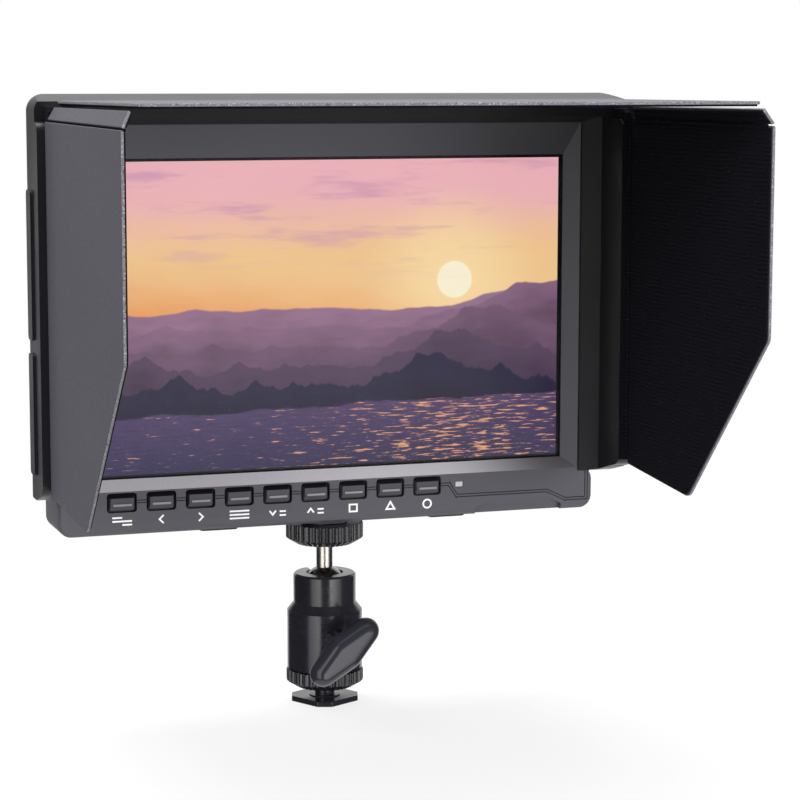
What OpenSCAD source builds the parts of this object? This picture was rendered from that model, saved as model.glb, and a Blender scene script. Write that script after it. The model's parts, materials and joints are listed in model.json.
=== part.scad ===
// Camera field monitor with a folding sun hood on a small ball head with a shoe foot.
// Millimetres, +Z up. The origin is the centre of the shoe foot's underside, the screen faces -Y.
// The monitor is drawn in its own frame: X across, Y back from the key panel's face, Z up from its base.

/* [Screen] */
// Width of the lit picture
screen_w = 150.8; // [110:0.2:170]
// Height of the lit picture
screen_h = 94.2; // [75:0.2:115]
// Black border between the picture and the bezel
picture_border = 0.9; // [0.4:0.1:3]
// Depth of the glass behind the key panel's face
glass_set_back = 3; // [2.4:0.1:3.4]
// Thickness of the cover glass
glass_t = 1; // [0.6:0.1:1.6]
// How far the glass reaches behind the bezel
glass_lap = 1.6; // [1:0.1:3]
// Thickness of the foam gasket behind the glass
gasket_t = 0.4; // [0.3:0.1:1]
// Thickness of the display panel
lcd_t = 3.4; // [2.5:0.1:4]
// Frame of the display panel round its picture
lcd_rim = 3.4; // [2.5:0.1:4]

/* [Case] */
// Width of the sloped bezel at each side of the picture
bezel_side = 4.7; // [3:0.1:8]
// Height of the sloped bezel above the picture
bezel_top = 10; // [5:0.5:14]
// Height of the sloped bezel below the picture
bezel_bottom = 3.3; // [2.6:0.1:6]
// Height of the key panel under the bezel
key_strip_h = 13.2; // [12.6:0.1:18]
// Width of the slope outside the bezel's ridge
shoulder_w = 5.2; // [3.5:0.1:8]
// How far that slope falls back
shoulder_drop = 2.4; // [1:0.1:2.8]
// Depth of the front housing
front_depth = 4.6; // [4:0.1:4.9]
// Depth of the whole case
case_depth = 22; // [20:0.5:30]
// Wall thickness of both housings
wall = 1.8; // [1.4:0.1:2.2]
// Radius of the case's corners
case_corner = 4; // [3:0.5:7]
// Chamfer round the case's back
back_chamfer = 2.4; // [1:0.2:3]
// Clearance between moulded parts that seat in each other
fit_gap = 0.2; // [0.1:0.05:0.3]

/* [Keys] */
// Number of keys in the row
key_count = 9; // [9:1:9]
// Distance from key to key
key_pitch = 12.15; // [11.4:0.05:12.6]
// Centre of the first key, left of the middle
first_key = 66.9; // [60:0.1:70]
// Height of the keys' centre line above the case's base
key_height = 9.8; // [9:0.1:10]
// Width of a key's opening
key_hole_w = 9.2; // [7:0.1:9.6]
// Height of a key's opening
key_hole_h = 5.9; // [4.6:0.1:6.4]
// Clearance all round a key
key_gap = 0.35; // [0.2:0.05:0.5]
// How far the key's face stands out of the panel
key_proud = 0.45; // [0.2:0.05:1]
// Travel of a key
key_travel = 0.5; // [0.3:0.05:0.7]
// Width of the double line pressed into the key panel
track_w = 1.1; // [0.7:0.1:1.5]

/* [Hood] */
// Width of the hood frame beside the case
frame_w = 6.7; // [5.5:0.1:9]
// Clearance between the case and the hood frame
frame_gap = 0.3; // [0.2:0.05:0.5]
// Height of the hood frame's lower ends above the case's base
frame_foot = 12; // [8:0.5:16]
// Height of the hood frame's top wall
frame_top = 3.7; // [3:0.1:5]
// How far the frame reaches back over the case
frame_skirt = 3; // [1.5:0.1:4]
// Radius of the hood frame's upper corners
frame_corner = 5; // [4:0.5:7]
// Slope of the frame's top, from back to front
frame_draft = 2; // [0.5:0.1:2.5]
// Stand-off of the top flap's fold line in front of the key panel
top_fold = 9.4; // [8:0.1:11]
// Step from the top flap's fold line to the left flap's
left_step = 3.6; // [3.4:0.1:5]
// Step from the left flap's fold line to the right flap's
right_step = 6; // [3.5:0.1:8]
// Stand-off of the hood's front edge in front of the key panel
hood_reach = 112; // [85:1:125]
// Thickness of a flap's board
board_t = 0.9; // [0.7:0.1:1.2]
// Thickness of a flap's lining
lining_t = 0.5; // [0.3:0.1:0.7]
// How far a lining stays back from the edges of its board
lining_inset = 0.5; // [0.3:0.1:1.5]
// Height of the side flaps' kink above the case's base
kink_height = 65; // [40:1:90]
// Stand-off of the side flaps' lower corner
low_corner = 63; // [50:1:80]
// Height of the side flaps' tabs
tab_h = 4.8; // [3.5:0.1:5]
// Lean of the tabs towards the middle
tab_lean = 28; // [5:1:30]
// Rise of the top flap towards its front, in degrees
top_rise = 0.4; // [0:0.1:1]

/* [Ball head] */
// Height of the case's base above the shoe foot's underside
head_h = 58.6; // [57.4:0.1:66]
// Distance of the stem's axis behind the key panel's face
stem_back = 10.8; // [10.6:0.1:12]
// Radius of the ball
ball_r = 6.6; // [6.2:0.1:6.9]
// Radius of the stem
stem_r = 2.6; // [2.2:0.1:2.8]
// Radius of the head's upper part
neck_r = 9.8; // [9.4:0.1:10.2]
// Radius of the head's lower part
body_r = 11.8; // [11.2:0.1:12.4]
// Height of the head's rim above the foot's underside
rim_z = 41; // [40.6:0.1:41.4]
// Radius of the knurled wheels
wheel_r = 12.1; // [11.4:0.1:13]
// Height of the upper knurled wheel
wheel_h = 6.7; // [5:0.1:7]
// Height of the shoe's knurled wheel
shoe_wheel_h = 5.6; // [4.4:0.1:6]
// Side of the shoe foot's square
foot_side = 18; // [17.6:0.1:18.8]
// Thickness of the shoe foot
foot_t = 1.7; // [1.5:0.1:2.1]
// Gap for the camera's shoe rails above the foot
rail_gap = 3; // [2.4:0.1:3.2]
// Length of the lever's paddle
paddle_l = 27; // [20:0.5:30]
// Width of the lever's paddle
paddle_w = 12; // [8:0.5:13]

/* [Hidden] */

// Colours as the photograph shows them
housing_grey = [0.29, 0.28, 0.31];
hood_grey = [0.33, 0.33, 0.35];
flock_black = [0.06, 0.06, 0.07];
metal_black = [0.07, 0.07, 0.08];
steel = [0.75, 0.73, 0.71];
brass = [0.8, 0.66, 0.36];
board_green = [0.1, 0.3, 0.18];

eps = 0.01;
round_fn = 48;

// Outlines of the screen and the bezel, as half widths and heights
open_x = screen_w / 2 + picture_border;
open_z0 = key_strip_h + bezel_bottom;
open_z1 = open_z0 + screen_h + 2 * picture_border;
ridge_x = open_x + bezel_side;
ridge_z = open_z1 + bezel_top;
case_x = ridge_x + shoulder_w;
case_top = ridge_z + shoulder_w;
// The side walls are as thick as the chamfer needs
side_wall = max(wall, back_chamfer);
inside_x = case_x - side_wall;
glass_back = glass_set_back + glass_t;
lcd_front = glass_back + gasket_t;
lcd_back = lcd_front + lcd_t;
lcd_x = screen_w / 2 + lcd_rim;
screen_z0 = open_z0 + picture_border;
screen_z1 = screen_z0 + screen_h;
panel_t = 2;
back_in = case_depth - wall;

// Things inside the case
bracket_t = 0.8;
bracket_front = lcd_back + fit_gap;
board_pcb = 1.6;
power_body = 7.2;
// The board stands as far forward as its tallest socket needs
socket_seat = back_in - fit_gap - power_body;
board_back = socket_seat - fit_gap;
board_front = board_back - board_pcb;
board_head_h = 1;
board_screw_l = 6;
link_h = 1;
link_half = 16;
chip_h = 1.2;
chips = [[-20, 66, 14, 14], [8, 70, 10, 10], [-42, 42, 12, 8], [14, 40, 10, 10]];
board_x0 = -58;
board_x1 = case_x - 5;
board_z0 = 26;
board_z1 = 104;
board_hole_r = 1.4;
board_posts = [[board_x0 + 4, board_z0 + 4], [board_x0 + 4, board_z1 - 4],
    [board_x1 - 36, board_z0 + 4], [board_x1 - 36, board_z1 - 4]];
post_r = 3;
pilot_r = 0.9;
thread_r = 1;
screw_hole_r = 1.25;
screw_head_r = 2.1;
screw_head_h = 1.4;
case_posts = [[-case_x + 6, 6.5], [case_x - 6, 6.5], [-case_x + 9, case_top - 6],
    [0, case_top - 6], [case_x - 9, case_top - 6]];

// Sockets on the right-hand side, seated on the board's back
socket_end = inside_x - fit_gap;
socket_nose = case_x - 0.3;
socket_hole = 0.25;
socket_depth = 12;
hdmi_z = 84;
hdmi_w = 14.2;
hdmi_h = 4.7;
hdmi_skin = 0.5;
hdmi_y = socket_seat + hdmi_skin + hdmi_h / 2;
power_z = 62;
power_r = 3.1;
power_nose = 3.5;
power_pin = 1;
power_y = socket_seat + power_body / 2;
phone_z = 42;
jack_r = 1.8;
jack_body = 6.4;
jack_nose = 3.1;
phone_y = socket_seat + jack_body / 2;

// Battery plate on the back
plate_w = 38.4;
plate_h = 64;
plate_t = 4;
plate_z0 = 34;
plate_front = case_depth + fit_gap;
plate_back = plate_front + plate_t;
rail_w = 3;
latch_w = 12;
latch_h = 8;
latch_travel = 3;
plate_head_h = 1;
plate_screw_l = 3.2;
contact_x = 8;

// Tripod insert and the stem's axis
insert_r = 3.7;
insert_bore = 3.175;
insert_h = 9;
boss_h = 1.3;
boss_r = 7.2;
stud_r = 3.1;
pad_h = 0.8;
pad_left = 36;
pad_right = 38;
pad_half = 6;
pad_edge = 2.5;

// Keys
key_hole_z = key_height;
key_room_z = key_hole_z + key_hole_h / 2 + 0.9;
key_room_z0 = 4.4;
key_room_in = 8;
light_room = 5.3;
key_pcb_z1 = key_hole_z + 3.2;
last_key = (key_count - 1) * key_pitch - first_key;
light_x = last_key + 10.7;
light_z = key_height;
light_w = 2.4;
light_h = 1.6;
notch_x0 = case_x - 39.7;
notch_x1 = case_x - 10.7;
notch_h = 4.1;
notch_deep = 2.4;
flange_over = 0.7;
flange_t = 0.8;
flange_front = panel_t + fit_gap;
switch_gap = key_travel + 0.3;
post_len = 0.6;
switch_h = 0.8;
key_pcb_t = 1;
key_pcb_in = 6;
key_pcb_out = 3.3;
key_pcb_down = 4;
switch_half = 2.6;
switch_face = flange_front + flange_t + post_len + switch_gap;
key_pcb_front = switch_face + switch_h;
key_pcb_back = key_pcb_front + key_pcb_t;

// Hood frame and fold lines
frame_in_x = case_x + frame_gap;
frame_out_x = frame_in_x + frame_w;
frame_in_z = case_top + frame_gap;
frame_out_z = frame_in_z + frame_top;
left_fold = top_fold + left_step;
right_fold = left_fold + right_step;
well_x = frame_in_x + 0.5;
flap_t = board_t + lining_t;
side_in = frame_out_x - 2.3 - flap_t;
top_half = frame_in_x - 0.1;
top_axis_z = frame_out_z - frame_draft - 1.2;
fold_z = top_axis_z - 4.6;
flap_foot = frame_foot + 1.3;
seat_gap = 0.2;
root_gap = 0.3;
tab_start = 3.2;

// Levels of the ball head above the foot's underside
shoe_wheel_z = foot_t + rail_gap;
head_z0 = shoe_wheel_z + shoe_wheel_h + 0.3;
ball_z = rim_z - 4.4;
shoulder_z = rim_z - 9.2;
cone_h = 2.6;
socket_r = ball_r + 0.06;
throat_r = 5.8;
slot_gap = 0.5;
shaft_r = 6.8;
plug_h = 6;
wheel_top = head_h - boss_h - seat_gap;
wheel_z0 = wheel_top - wheel_h;
lever_z = ball_z - 16.8;
piston_z0 = head_z0 + plug_h + 0.2;
seat_z0 = ball_z - 11.4;
screw_r = 2.4;
paddle_t = 7.4;
paddle_turn = 42;
collar_r = 5.4;
// Cross-section of the paddle: share of its thickness and how far the outline stays in
paddle_steps = [[0, 2.6], [0.1, 1.5], [0.25, 0.5], [0.45, 0], [0.6, 0.1], [0.75, 0.6], [0.88, 1.4], [0.96, 2.3],
    [1, 3.3]];
paddle_back = body_r + 5.2;
stud_top = head_h + insert_h - 2;
knurls = 36;
taper_h = 2;
taper_end = 0.72;
foot_turn = 27.8;
foot_cut = 2.35;
far = 200;
well_z = ridge_z + 2;
lip_x = ridge_x + 0.2;
lip_z = ridge_z + 0.2;
lip_gap = 0.2;
lip_t = 0.8;
lip_rise = 3;
foot_slope = 0.26;

// Helpers
module monitor() {
    translate([0, -stem_back, head_h]) children();
}

// A flat shape drawn in X and Z, made solid from depth y0 to y1
module slab(y0, y1) {
    translate([0, y1, 0]) rotate([90, 0, 0]) linear_extrude(y1 - y0) children();
}

// A flat shape drawn in Y and Z, made solid from x0 to x1
module side_slab(x0, x1) {
    translate([x0, 0, 0]) rotate([90, 0, 90]) linear_extrude(x1 - x0) children();
}

module rect(x0, z0, x1, z1) {
    translate([x0, z0]) square([x1 - x0, z1 - z0]);
}

// A rectangle with its four corners rounded by true arcs
module round_rect(x0, z0, x1, z1, r) {
    rect(x0 + r, z0, x1 - r, z1);
    rect(x0, z0 + r, x1, z1 - r);
    for (x = [x0 + r, x1 - r], z = [z0 + r, z1 - r]) translate([x, z]) circle(r, $fn = round_fn);
}

module post(x, z, r, y0, y1) {
    translate([x, y0, z]) rotate([-90, 0, 0]) cylinder(r = r, h = y1 - y0, $fn = round_fn);
}

module across(y, z, r, x0, x1) {
    translate([x0, y, z]) rotate([0, 90, 0]) cylinder(r = r, h = x1 - x0, $fn = round_fn);
}

module case_outline(inset) {
    round_rect(-case_x + inset, inset, case_x - inset, case_top - inset, case_corner - inset);
}

function key_x(i) = -first_key + (i - 1) * key_pitch;
// Outline with n rounded ribs, each drawn with six points
rib_shape = [0.1, 0, 0.1, 0.75, 1, 0.75];
function knurl_points(r, n, deep) = [for (i = [0 : 6 * n - 1])
    let (a = 60 * i / n, rr = r - deep * rib_shape[i % 6]) [rr * cos(a), rr * sin(a)]];

// The double line pressed into the key panel, from the last key to the right-hand end
track_z = key_height + 0.2;
track_low = 3.2;
track = [[last_key + key_hole_w / 2, track_z], [last_key + 7.3, track_z], [last_key + 9.9, 2 * track_low - 0.2],
    [case_x - 15.6, 2 * track_low - 0.2], [case_x - 9.2, track_low], [case_x - 2, track_low],
    [case_x - 2, key_strip_h - 1]];
track_ridge = 0.5;
track_deep = 0.4;

function unit(v) = v / norm(v);
function corner_arc(a, b, c, r, n = 8) = let (u = unit(a - b), v = unit(c - b), half = acos(u * v) / 2,
    m = b + unit(u + v) * r / sin(half), p = b + u * r / tan(half), q = b + v * r / tan(half),
    a0 = atan2(p[1] - m[1], p[0] - m[0]), a1 = atan2(q[1] - m[1], q[0] - m[0]),
    d = (a1 - a0 + 540) % 360 - 180) [for (i = [0 : n]) m + r * [cos(a0 + d * i / n), sin(a0 + d * i / n)]];
// An outline with the corners of the radii given, where 0 leaves a corner sharp
function rounded(pts, radii) = [for (i = [0 : len(pts) - 1]) each radii[i] > 0
    ? corner_arc(pts[(i + len(pts) - 1) % len(pts)], pts[i], pts[(i + 1) % len(pts)], radii[i]) : [pts[i]]];

module stroke(p, q, w) {
    d = q - p;
    translate(p) rotate(atan2(d[1], d[0])) translate([-w / 2, -w / 2]) square([norm(d) + w, w]);
}

// Case
module front_housing() color(housing_grey) monitor() difference() {
    union() {
        hull() {
            slab(shoulder_drop, shoulder_drop + eps) case_outline(0);
            slab(0, eps) rect(-ridge_x, key_strip_h, ridge_x, ridge_z);
        }
        slab(shoulder_drop, front_depth) case_outline(0);
        hull() {
            slab(0, eps) round_rect(-case_x + 0.8, 0.8, case_x - 0.8, key_strip_h, case_corner - 0.8);
            slab(0.8, shoulder_drop) round_rect(-case_x, 0, case_x, key_strip_h, case_corner);
        }
    }
    hull() {
        slab(-eps, 0) rect(-ridge_x, key_strip_h, ridge_x, ridge_z);
        slab(glass_set_back - eps, glass_set_back) rect(-open_x, open_z0, open_x, open_z1);
    }
    slab(glass_set_back - eps, front_depth + 1)
        rect(-open_x - glass_lap - fit_gap, open_z0 - glass_lap - fit_gap,
            open_x + glass_lap + fit_gap, open_z1 + glass_lap + fit_gap);
    slab(lcd_front - fit_gap, front_depth + 1)
        rect(-lcd_x - fit_gap, screen_z0 - lcd_rim - fit_gap,
            lcd_x + fit_gap, screen_z1 + lcd_rim + fit_gap);
    // Room behind the keys and holes for them
    slab(panel_t, front_depth + 1)
        rect(-first_key - key_room_in, key_room_z0, light_x + light_room, key_room_z);
    for (i = [1 : key_count]) slab(-1, panel_t + 1) key_hole(i);
    // The double line between the keys and on to the right
    slab(-1, track_deep) difference() {
        track_line(track_w);
        track_line(track_ridge);
    }
    // Sloping thumb notch in the lower edge
    intersection() {
        side_slab(notch_x0 - 1, notch_x1 + 1)
            polygon([[-1, notch_h], [0, notch_h], [notch_deep, 0], [notch_deep, -1], [-1, -1]]);
        slab(-2, notch_deep + 1) polygon([[notch_x0, -1], [notch_x0, 1.9], [notch_x0 + 4, notch_h + eps],
            [notch_x1 - 5, notch_h + eps], [notch_x1, 1.9], [notch_x1, -1]]);
    }
    light_hole(fit_gap / 2);
    for (p = case_posts) post(p[0], p[1], thread_r, panel_t, front_depth + 1);
}

module track_line(w) {
    stroke([key_x(1), track_z], [last_key, track_z], w);
    for (i = [0 : len(track) - 2]) stroke(track[i], track[i + 1], w);
}

module key_hole(i) {
    round_rect(key_x(i) - key_hole_w / 2, key_hole_z - key_hole_h / 2,
        key_x(i) + key_hole_w / 2, key_hole_z + key_hole_h / 2, 1);
}

module light_hole(gap) {
    slab(-1, panel_t + 1) translate([light_x, light_z])
        square([light_w + 2 * gap, light_h + 2 * gap], center = true);
}

module insert_pocket() {
    translate([0, stem_back, -boss_h - eps])
        cylinder(r = insert_r + fit_gap / 2, h = insert_h + boss_h, $fn = round_fn);
}

module rear_housing() color(housing_grey) monitor() difference() {
    union() {
        difference() {
            union() {
                slab(front_depth, case_depth - back_chamfer) case_outline(0);
                hull() {
                    slab(case_depth - back_chamfer, case_depth - back_chamfer + eps) case_outline(0);
                    slab(case_depth - eps, case_depth) case_outline(back_chamfer);
                }
            }
            slab(front_depth - 1, back_in) case_outline(side_wall);
        }
        for (p = case_posts) post(p[0], p[1], post_r, front_depth, case_depth - eps);
        for (p = board_posts) post(p[0], p[1], post_r, board_back, case_depth - eps);
        // Boss round the tripod insert, flat towards the front housing and the key board
        intersection() {
            translate([0, stem_back, -boss_h]) cylinder(r = boss_r, h = boss_h + wall, $fn = 96);
            translate([-far, front_depth, -far]) cube(2 * far);
        }
        intersection() {
            translate([0, stem_back, 0])
                cylinder(r = insert_r + wall, h = insert_h, $fn = round_fn);
            slab(key_pcb_back + fit_gap, back_in) case_outline(0);
        }
    }
    for (p = case_posts) {
        post(p[0], p[1], screw_hole_r, front_depth - 1, case_depth + 1);
        post(p[0], p[1], screw_head_r + fit_gap, case_depth - screw_head_h - 0.6, case_depth + 1);
    }
    for (p = board_posts) post(p[0], p[1], pilot_r, board_back - 1, back_in - 1);
    insert_pocket();
    // Sockets
    side_slab(inside_x - 1, case_x + 1)
        translate([hdmi_y, hdmi_z]) square([hdmi_h + 2 * (hdmi_skin + socket_hole),
            hdmi_w + 2 * (hdmi_skin + socket_hole)], center = true);
    across(power_y, power_z, power_nose + socket_hole, inside_x - 1, case_x + 1);
    across(phone_y, phone_z, jack_nose + socket_hole, inside_x - 1, case_x + 1);
    // Cooling slots high on the back
    for (i = [-5 : 5])
        slab(back_in - 1, case_depth + 1) round_rect(i * 6 - 1, case_top - 24, i * 6 + 1, case_top - 14, 0.9);
    // Sound slots over the speaker
    for (i = [-2 : 2])
        slab(back_in - 1, case_depth + 1) round_rect(speaker_x - 6, speaker_z + i * 3 - 0.6,
            speaker_x + 6, speaker_z + i * 3 + 0.6, 0.5);
    for (p = plate_holes) post(p[0], p[1], pilot_r, back_in - 1, case_depth + 1);
    latch_room();
}

speaker_x = -68;
speaker_z = 62;
speaker_r = 9;
speaker_t = 2;
magnet_t = 2.4;
speaker_front = back_in - fit_gap - speaker_t;
plate_holes = [for (x = [-13, 13], z = [plate_z0 + 20, plate_z0 + plate_h - 8]) [x, z]];

module latch_room() {
    slab(back_in - 1, case_depth + 1) rect(-latch_w / 2 - 1, plate_z0 + 3, latch_w / 2 + 1,
        plate_z0 + 3 + latch_h + latch_travel + 1);
}

module screen_glass() color([0.1, 0.1, 0.14]) monitor()
    slab(glass_set_back, glass_back) rect(-open_x - glass_lap, open_z0 - glass_lap,
        open_x + glass_lap, open_z1 + glass_lap);

module glass_gasket() color([0.05, 0.05, 0.05]) monitor()
    slab(glass_back, lcd_front) difference() {
        rect(-open_x - glass_lap, open_z0 - glass_lap, open_x + glass_lap, open_z1 + glass_lap);
        rect(-open_x, open_z0, open_x, open_z1);
    }

module lcd_panel() color([0.45, 0.36, 0.42]) monitor()
    slab(lcd_front, lcd_back) rect(-lcd_x, screen_z0 - lcd_rim, lcd_x, screen_z1 + lcd_rim);

module lcd_bracket() color(steel) monitor() {
    difference() {
        slab(bracket_front, bracket_front + bracket_t)
            rect(-lcd_x - 1, screen_z0 - lcd_rim, lcd_x + 1, screen_z1 + lcd_rim);
        slab(bracket_front - 1, bracket_front + 2)
            rect(-lcd_x + 12, screen_z0 + 8, lcd_x - 12, screen_z1 - 8);
    }
    // Turned edges that hold the display panel
    for (s = [-1, 1]) slab(front_depth + fit_gap, bracket_front)
        translate([s * (lcd_x + 0.6), 0]) rect(-0.4, screen_z0 + 12, 0.4, screen_z1 - 12);
}

module main_board() color(board_green) monitor() {
    difference() {
        slab(board_front, board_back) rect(board_x0, board_z0, board_x1, board_z1);
        for (p = board_posts) post(p[0], p[1], board_hole_r, board_front - 1, board_back + 1);
    }
    // Chips and the link to the display panel, on both faces
    slab(board_back, board_back + chip_h) for (c = chips) translate([c[0], c[1]]) square([c[2], c[3]]);
    slab(board_front - link_h, board_front) rect(-link_half, board_z0 + 1, link_half, board_z0 + 5);
}

module key_board() color(board_green) monitor() {
    slab(key_pcb_front, key_pcb_front + key_pcb_t)
        rect(-first_key - key_pcb_in, key_hole_z - key_pcb_down, light_x + key_pcb_out, key_pcb_z1);
    for (i = [1 : key_count]) slab(switch_face, key_pcb_front)
        rect(key_x(i) - switch_half, key_hole_z - 2, key_x(i) + switch_half, key_hole_z + 2);
    // The lamp behind the status light
    slab(switch_face, key_pcb_front) rect(light_x - 0.8, light_z - 0.6, light_x + 0.8, light_z + 0.6);
}

module hdmi_socket() color(steel) monitor() difference() {
    side_slab(case_x - socket_depth, socket_nose) translate([hdmi_y, hdmi_z])
        square([hdmi_h + 2 * hdmi_skin, hdmi_w + 2 * hdmi_skin], center = true);
    side_slab(case_x - socket_depth + 2, case_x + 1)
        translate([hdmi_y, hdmi_z]) square([hdmi_h, hdmi_w], center = true);
}

module power_socket() color(metal_black) monitor() {
    difference() {
        union() {
            side_slab(case_x - socket_depth, socket_end)
                translate([power_y, power_z]) square([power_body, 9], center = true);
            across(power_y, power_z, power_nose, socket_end - 1, socket_nose);
        }
        across(power_y, power_z, power_r, case_x - socket_depth + 2, case_x + 1);
    }
    across(power_y, power_z, power_pin, case_x - socket_depth + 1.9, case_x - 1.6);
}

module headphone_socket() color(metal_black) monitor() difference() {
    union() {
        side_slab(case_x - socket_depth - 2, socket_end)
            translate([phone_y, phone_z]) square([jack_body, 7], center = true);
        across(phone_y, phone_z, jack_nose, socket_end - 1, socket_nose);
    }
    across(phone_y, phone_z, jack_r, case_x - socket_depth, case_x + 1);
}

module speaker() color(metal_black) monitor() {
    post(speaker_x, speaker_z, speaker_r, speaker_front, speaker_front + speaker_t);
    post(speaker_x, speaker_z, speaker_r - magnet_t, speaker_front - magnet_t, speaker_front);
}

module screw(x, z, head_y, tip_y) {
    post(x, z, thread_r - 0.05, tip_y, head_y - screw_head_h);
    difference() {
        post(x, z, screw_head_r, head_y - screw_head_h, head_y);
        translate([x, head_y, z]) rotate([90, 0, 0]) cylinder(r = 1, h = 1.4, center = true, $fn = 6);
    }
}

module housing_screws() color(metal_black) monitor()
    for (p = case_posts) screw(p[0], p[1], case_depth - 0.6, panel_t + 0.4);

module board_screws() color(steel) monitor()
    for (p = board_posts) translate([p[0], board_front, p[1]]) {
        rotate([90, 0, 0]) cylinder(r = screw_head_r, h = board_head_h, $fn = round_fn);
        rotate([-90, 0, 0]) cylinder(r = pilot_r - 0.05, h = board_screw_l, $fn = round_fn);
    }

module mount_insert() color(brass) monitor() translate([0, stem_back, -boss_h]) difference() {
    cylinder(r = insert_r, h = insert_h + boss_h - 0.4, $fn = 96);
    translate([0, 0, -1]) cylinder(r = insert_bore, h = insert_h + boss_h - 0.6, $fn = 96);
}

module bottom_pads() color(metal_black) monitor()
    for (x = [-pad_left, pad_right]) translate([0, 0, -pad_h]) linear_extrude(pad_h)
        round_rect(x - pad_half, pad_edge, x + pad_half, case_depth - 4, 1.5);

module status_light() color([0.7, 0.7, 0.66]) monitor() {
    slab(0.15, panel_t + 0.6) translate([light_x, light_z]) square([light_w, light_h], center = true);
    slab(panel_t + fit_gap, panel_t + 1)
        translate([light_x, light_z]) square([light_w + 1.2, light_h + 1.2], center = true);
}

// Battery plate with a rail along each side
module battery_plate() color(metal_black) monitor() difference() {
    slab(plate_front, plate_back) round_rect(-plate_w / 2, plate_z0, plate_w / 2, plate_z0 + plate_h, 2);
    slab(plate_front + 1.6, plate_back + 1)
        rect(-plate_w / 2 + rail_w, plate_z0 + 16, plate_w / 2 - rail_w, plate_z0 + plate_h + 1);
    for (s = [-1, 1]) slab(plate_front + 1.6, plate_front + 2.9)
        translate([s * (plate_w / 2 - rail_w), 0]) rect(-1.4, plate_z0 + 20, 1.4, plate_z0 + plate_h + 1);
    for (p = plate_holes) post(p[0], p[1], screw_hole_r, plate_front - 1, plate_back);
    slab(plate_front - 1, plate_back + 1) rect(-latch_w / 2 - 0.3, plate_z0 + 3.4,
        latch_w / 2 + 0.3, plate_z0 + 4 + latch_h + latch_travel);
    for (x = [-contact_x, 0, contact_x]) slab(plate_front - 1, plate_front + 2)
        rect(x - 1, plate_z0 + 42, x + 1, plate_z0 + 52);
}

module plate_screws() color(steel) monitor()
    for (p = plate_holes) translate([p[0], plate_front + 1.6, p[1]]) {
        rotate([-90, 0, 0]) cylinder(r = screw_head_r, h = plate_head_h, $fn = round_fn);
        rotate([90, 0, 0]) cylinder(r = pilot_r - 0.05, h = plate_screw_l, $fn = round_fn);
    }

module battery_contacts() color(brass) monitor()
    for (x = [-contact_x, 0, contact_x]) slab(plate_front + 0.2, plate_front + 2.6)
        rect(x - 0.6, plate_z0 + 42.6, x + 0.6, plate_z0 + 51.4);

module battery_latch() color([0.55, 0.12, 0.1]) monitor() {
    slab(back_in + 0.2, plate_back + 0.4)
        rect(-latch_w / 2, plate_z0 + 4 + latch_travel, latch_w / 2, plate_z0 + 3.7 + latch_h + latch_travel);
    for (i = [0 : 2]) slab(plate_back, plate_back + 0.9) rect(-latch_w / 2 + 1,
        plate_z0 + 5 + latch_travel + i * 2.4, latch_w / 2 - 1, plate_z0 + 6 + latch_travel + i * 2.4);
}

// One key: a cap with a raised bar, a flange behind the panel and a post for its switch
module key(i) color(housing_grey) monitor() {
    w = key_hole_w / 2 - key_gap;
    h = key_hole_h / 2 - key_gap;
    x = key_x(i);
    hull() {
        slab(-key_proud, -key_proud + eps) rect(x - w + 0.4, key_hole_z - h + 1.3, x + w - 0.4, key_hole_z + h - 0.4);
        slab(0.3, 0.3 + eps) round_rect(x - w, key_hole_z - h, x + w, key_hole_z + h, 0.7);
    }
    slab(0.3, flange_front + eps) round_rect(x - w, key_hole_z - h, x + w, key_hole_z + h, 0.7);
    slab(-key_proud - 0.35, -key_proud + 0.2)
        rect(x - w + 1.4, key_hole_z - 0.9, x + w - 1.4, key_hole_z - 0.3);
    slab(flange_front, flange_front + flange_t)
        rect(x - w - flange_over, key_hole_z - h - flange_over, x + w + flange_over, key_hole_z + h + flange_over);
    post(x, key_hole_z, 1.5, flange_front, flange_front + flange_t + post_len);
}

// Hood frame: three walls round the case with a fold line for each flap
module frame_outline() {
    hull() {
        for (s = [-1, 1]) {
            translate([s * (frame_out_x - frame_corner), frame_out_z - frame_corner])
                circle(frame_corner, $fn = 96);
            translate([s * (frame_out_x - 1), frame_foot + 1]) circle(1, $fn = 32);
        }
    }
}

// A side wall, which steps forward under the top flap and has rounded front corners
module frame_wall(side, fold) {
    intersection() {
        slab(-fold, -top_fold + 1) difference() {
            frame_outline();
            translate([-side * far, 0]) square([2 * far, 4 * far], center = true);
            rect(-well_x, frame_foot - 1, well_x, frame_out_z + 1);
        }
        side_slab(-frame_out_x - 1, frame_out_x + 1) polygon(rounded([[1, frame_foot],
            [1, fold_z], [-fold, fold_z], [-fold, frame_foot + foot_slope * fold]], [0, 0, 3, 4]));
    }
}

// A lip that slopes from the walls to the bezel's ridge
module frame_lip() {
    difference() {
        slab(-lip_rise, -lip_gap) rect(-well_x - 1, frame_foot, well_x + 1, well_z + 1);
        hull() {
            slab(-lip_rise - eps, -lip_rise) rect(-well_x, frame_foot - 1, well_x, well_z);
            slab(-lip_t - lip_gap, -lip_t) rect(-lip_x, frame_foot - 1, lip_x, lip_z);
        }
        slab(-lip_t - eps, 0) rect(-lip_x, frame_foot - 1, lip_x, lip_z);
    }
}

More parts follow.
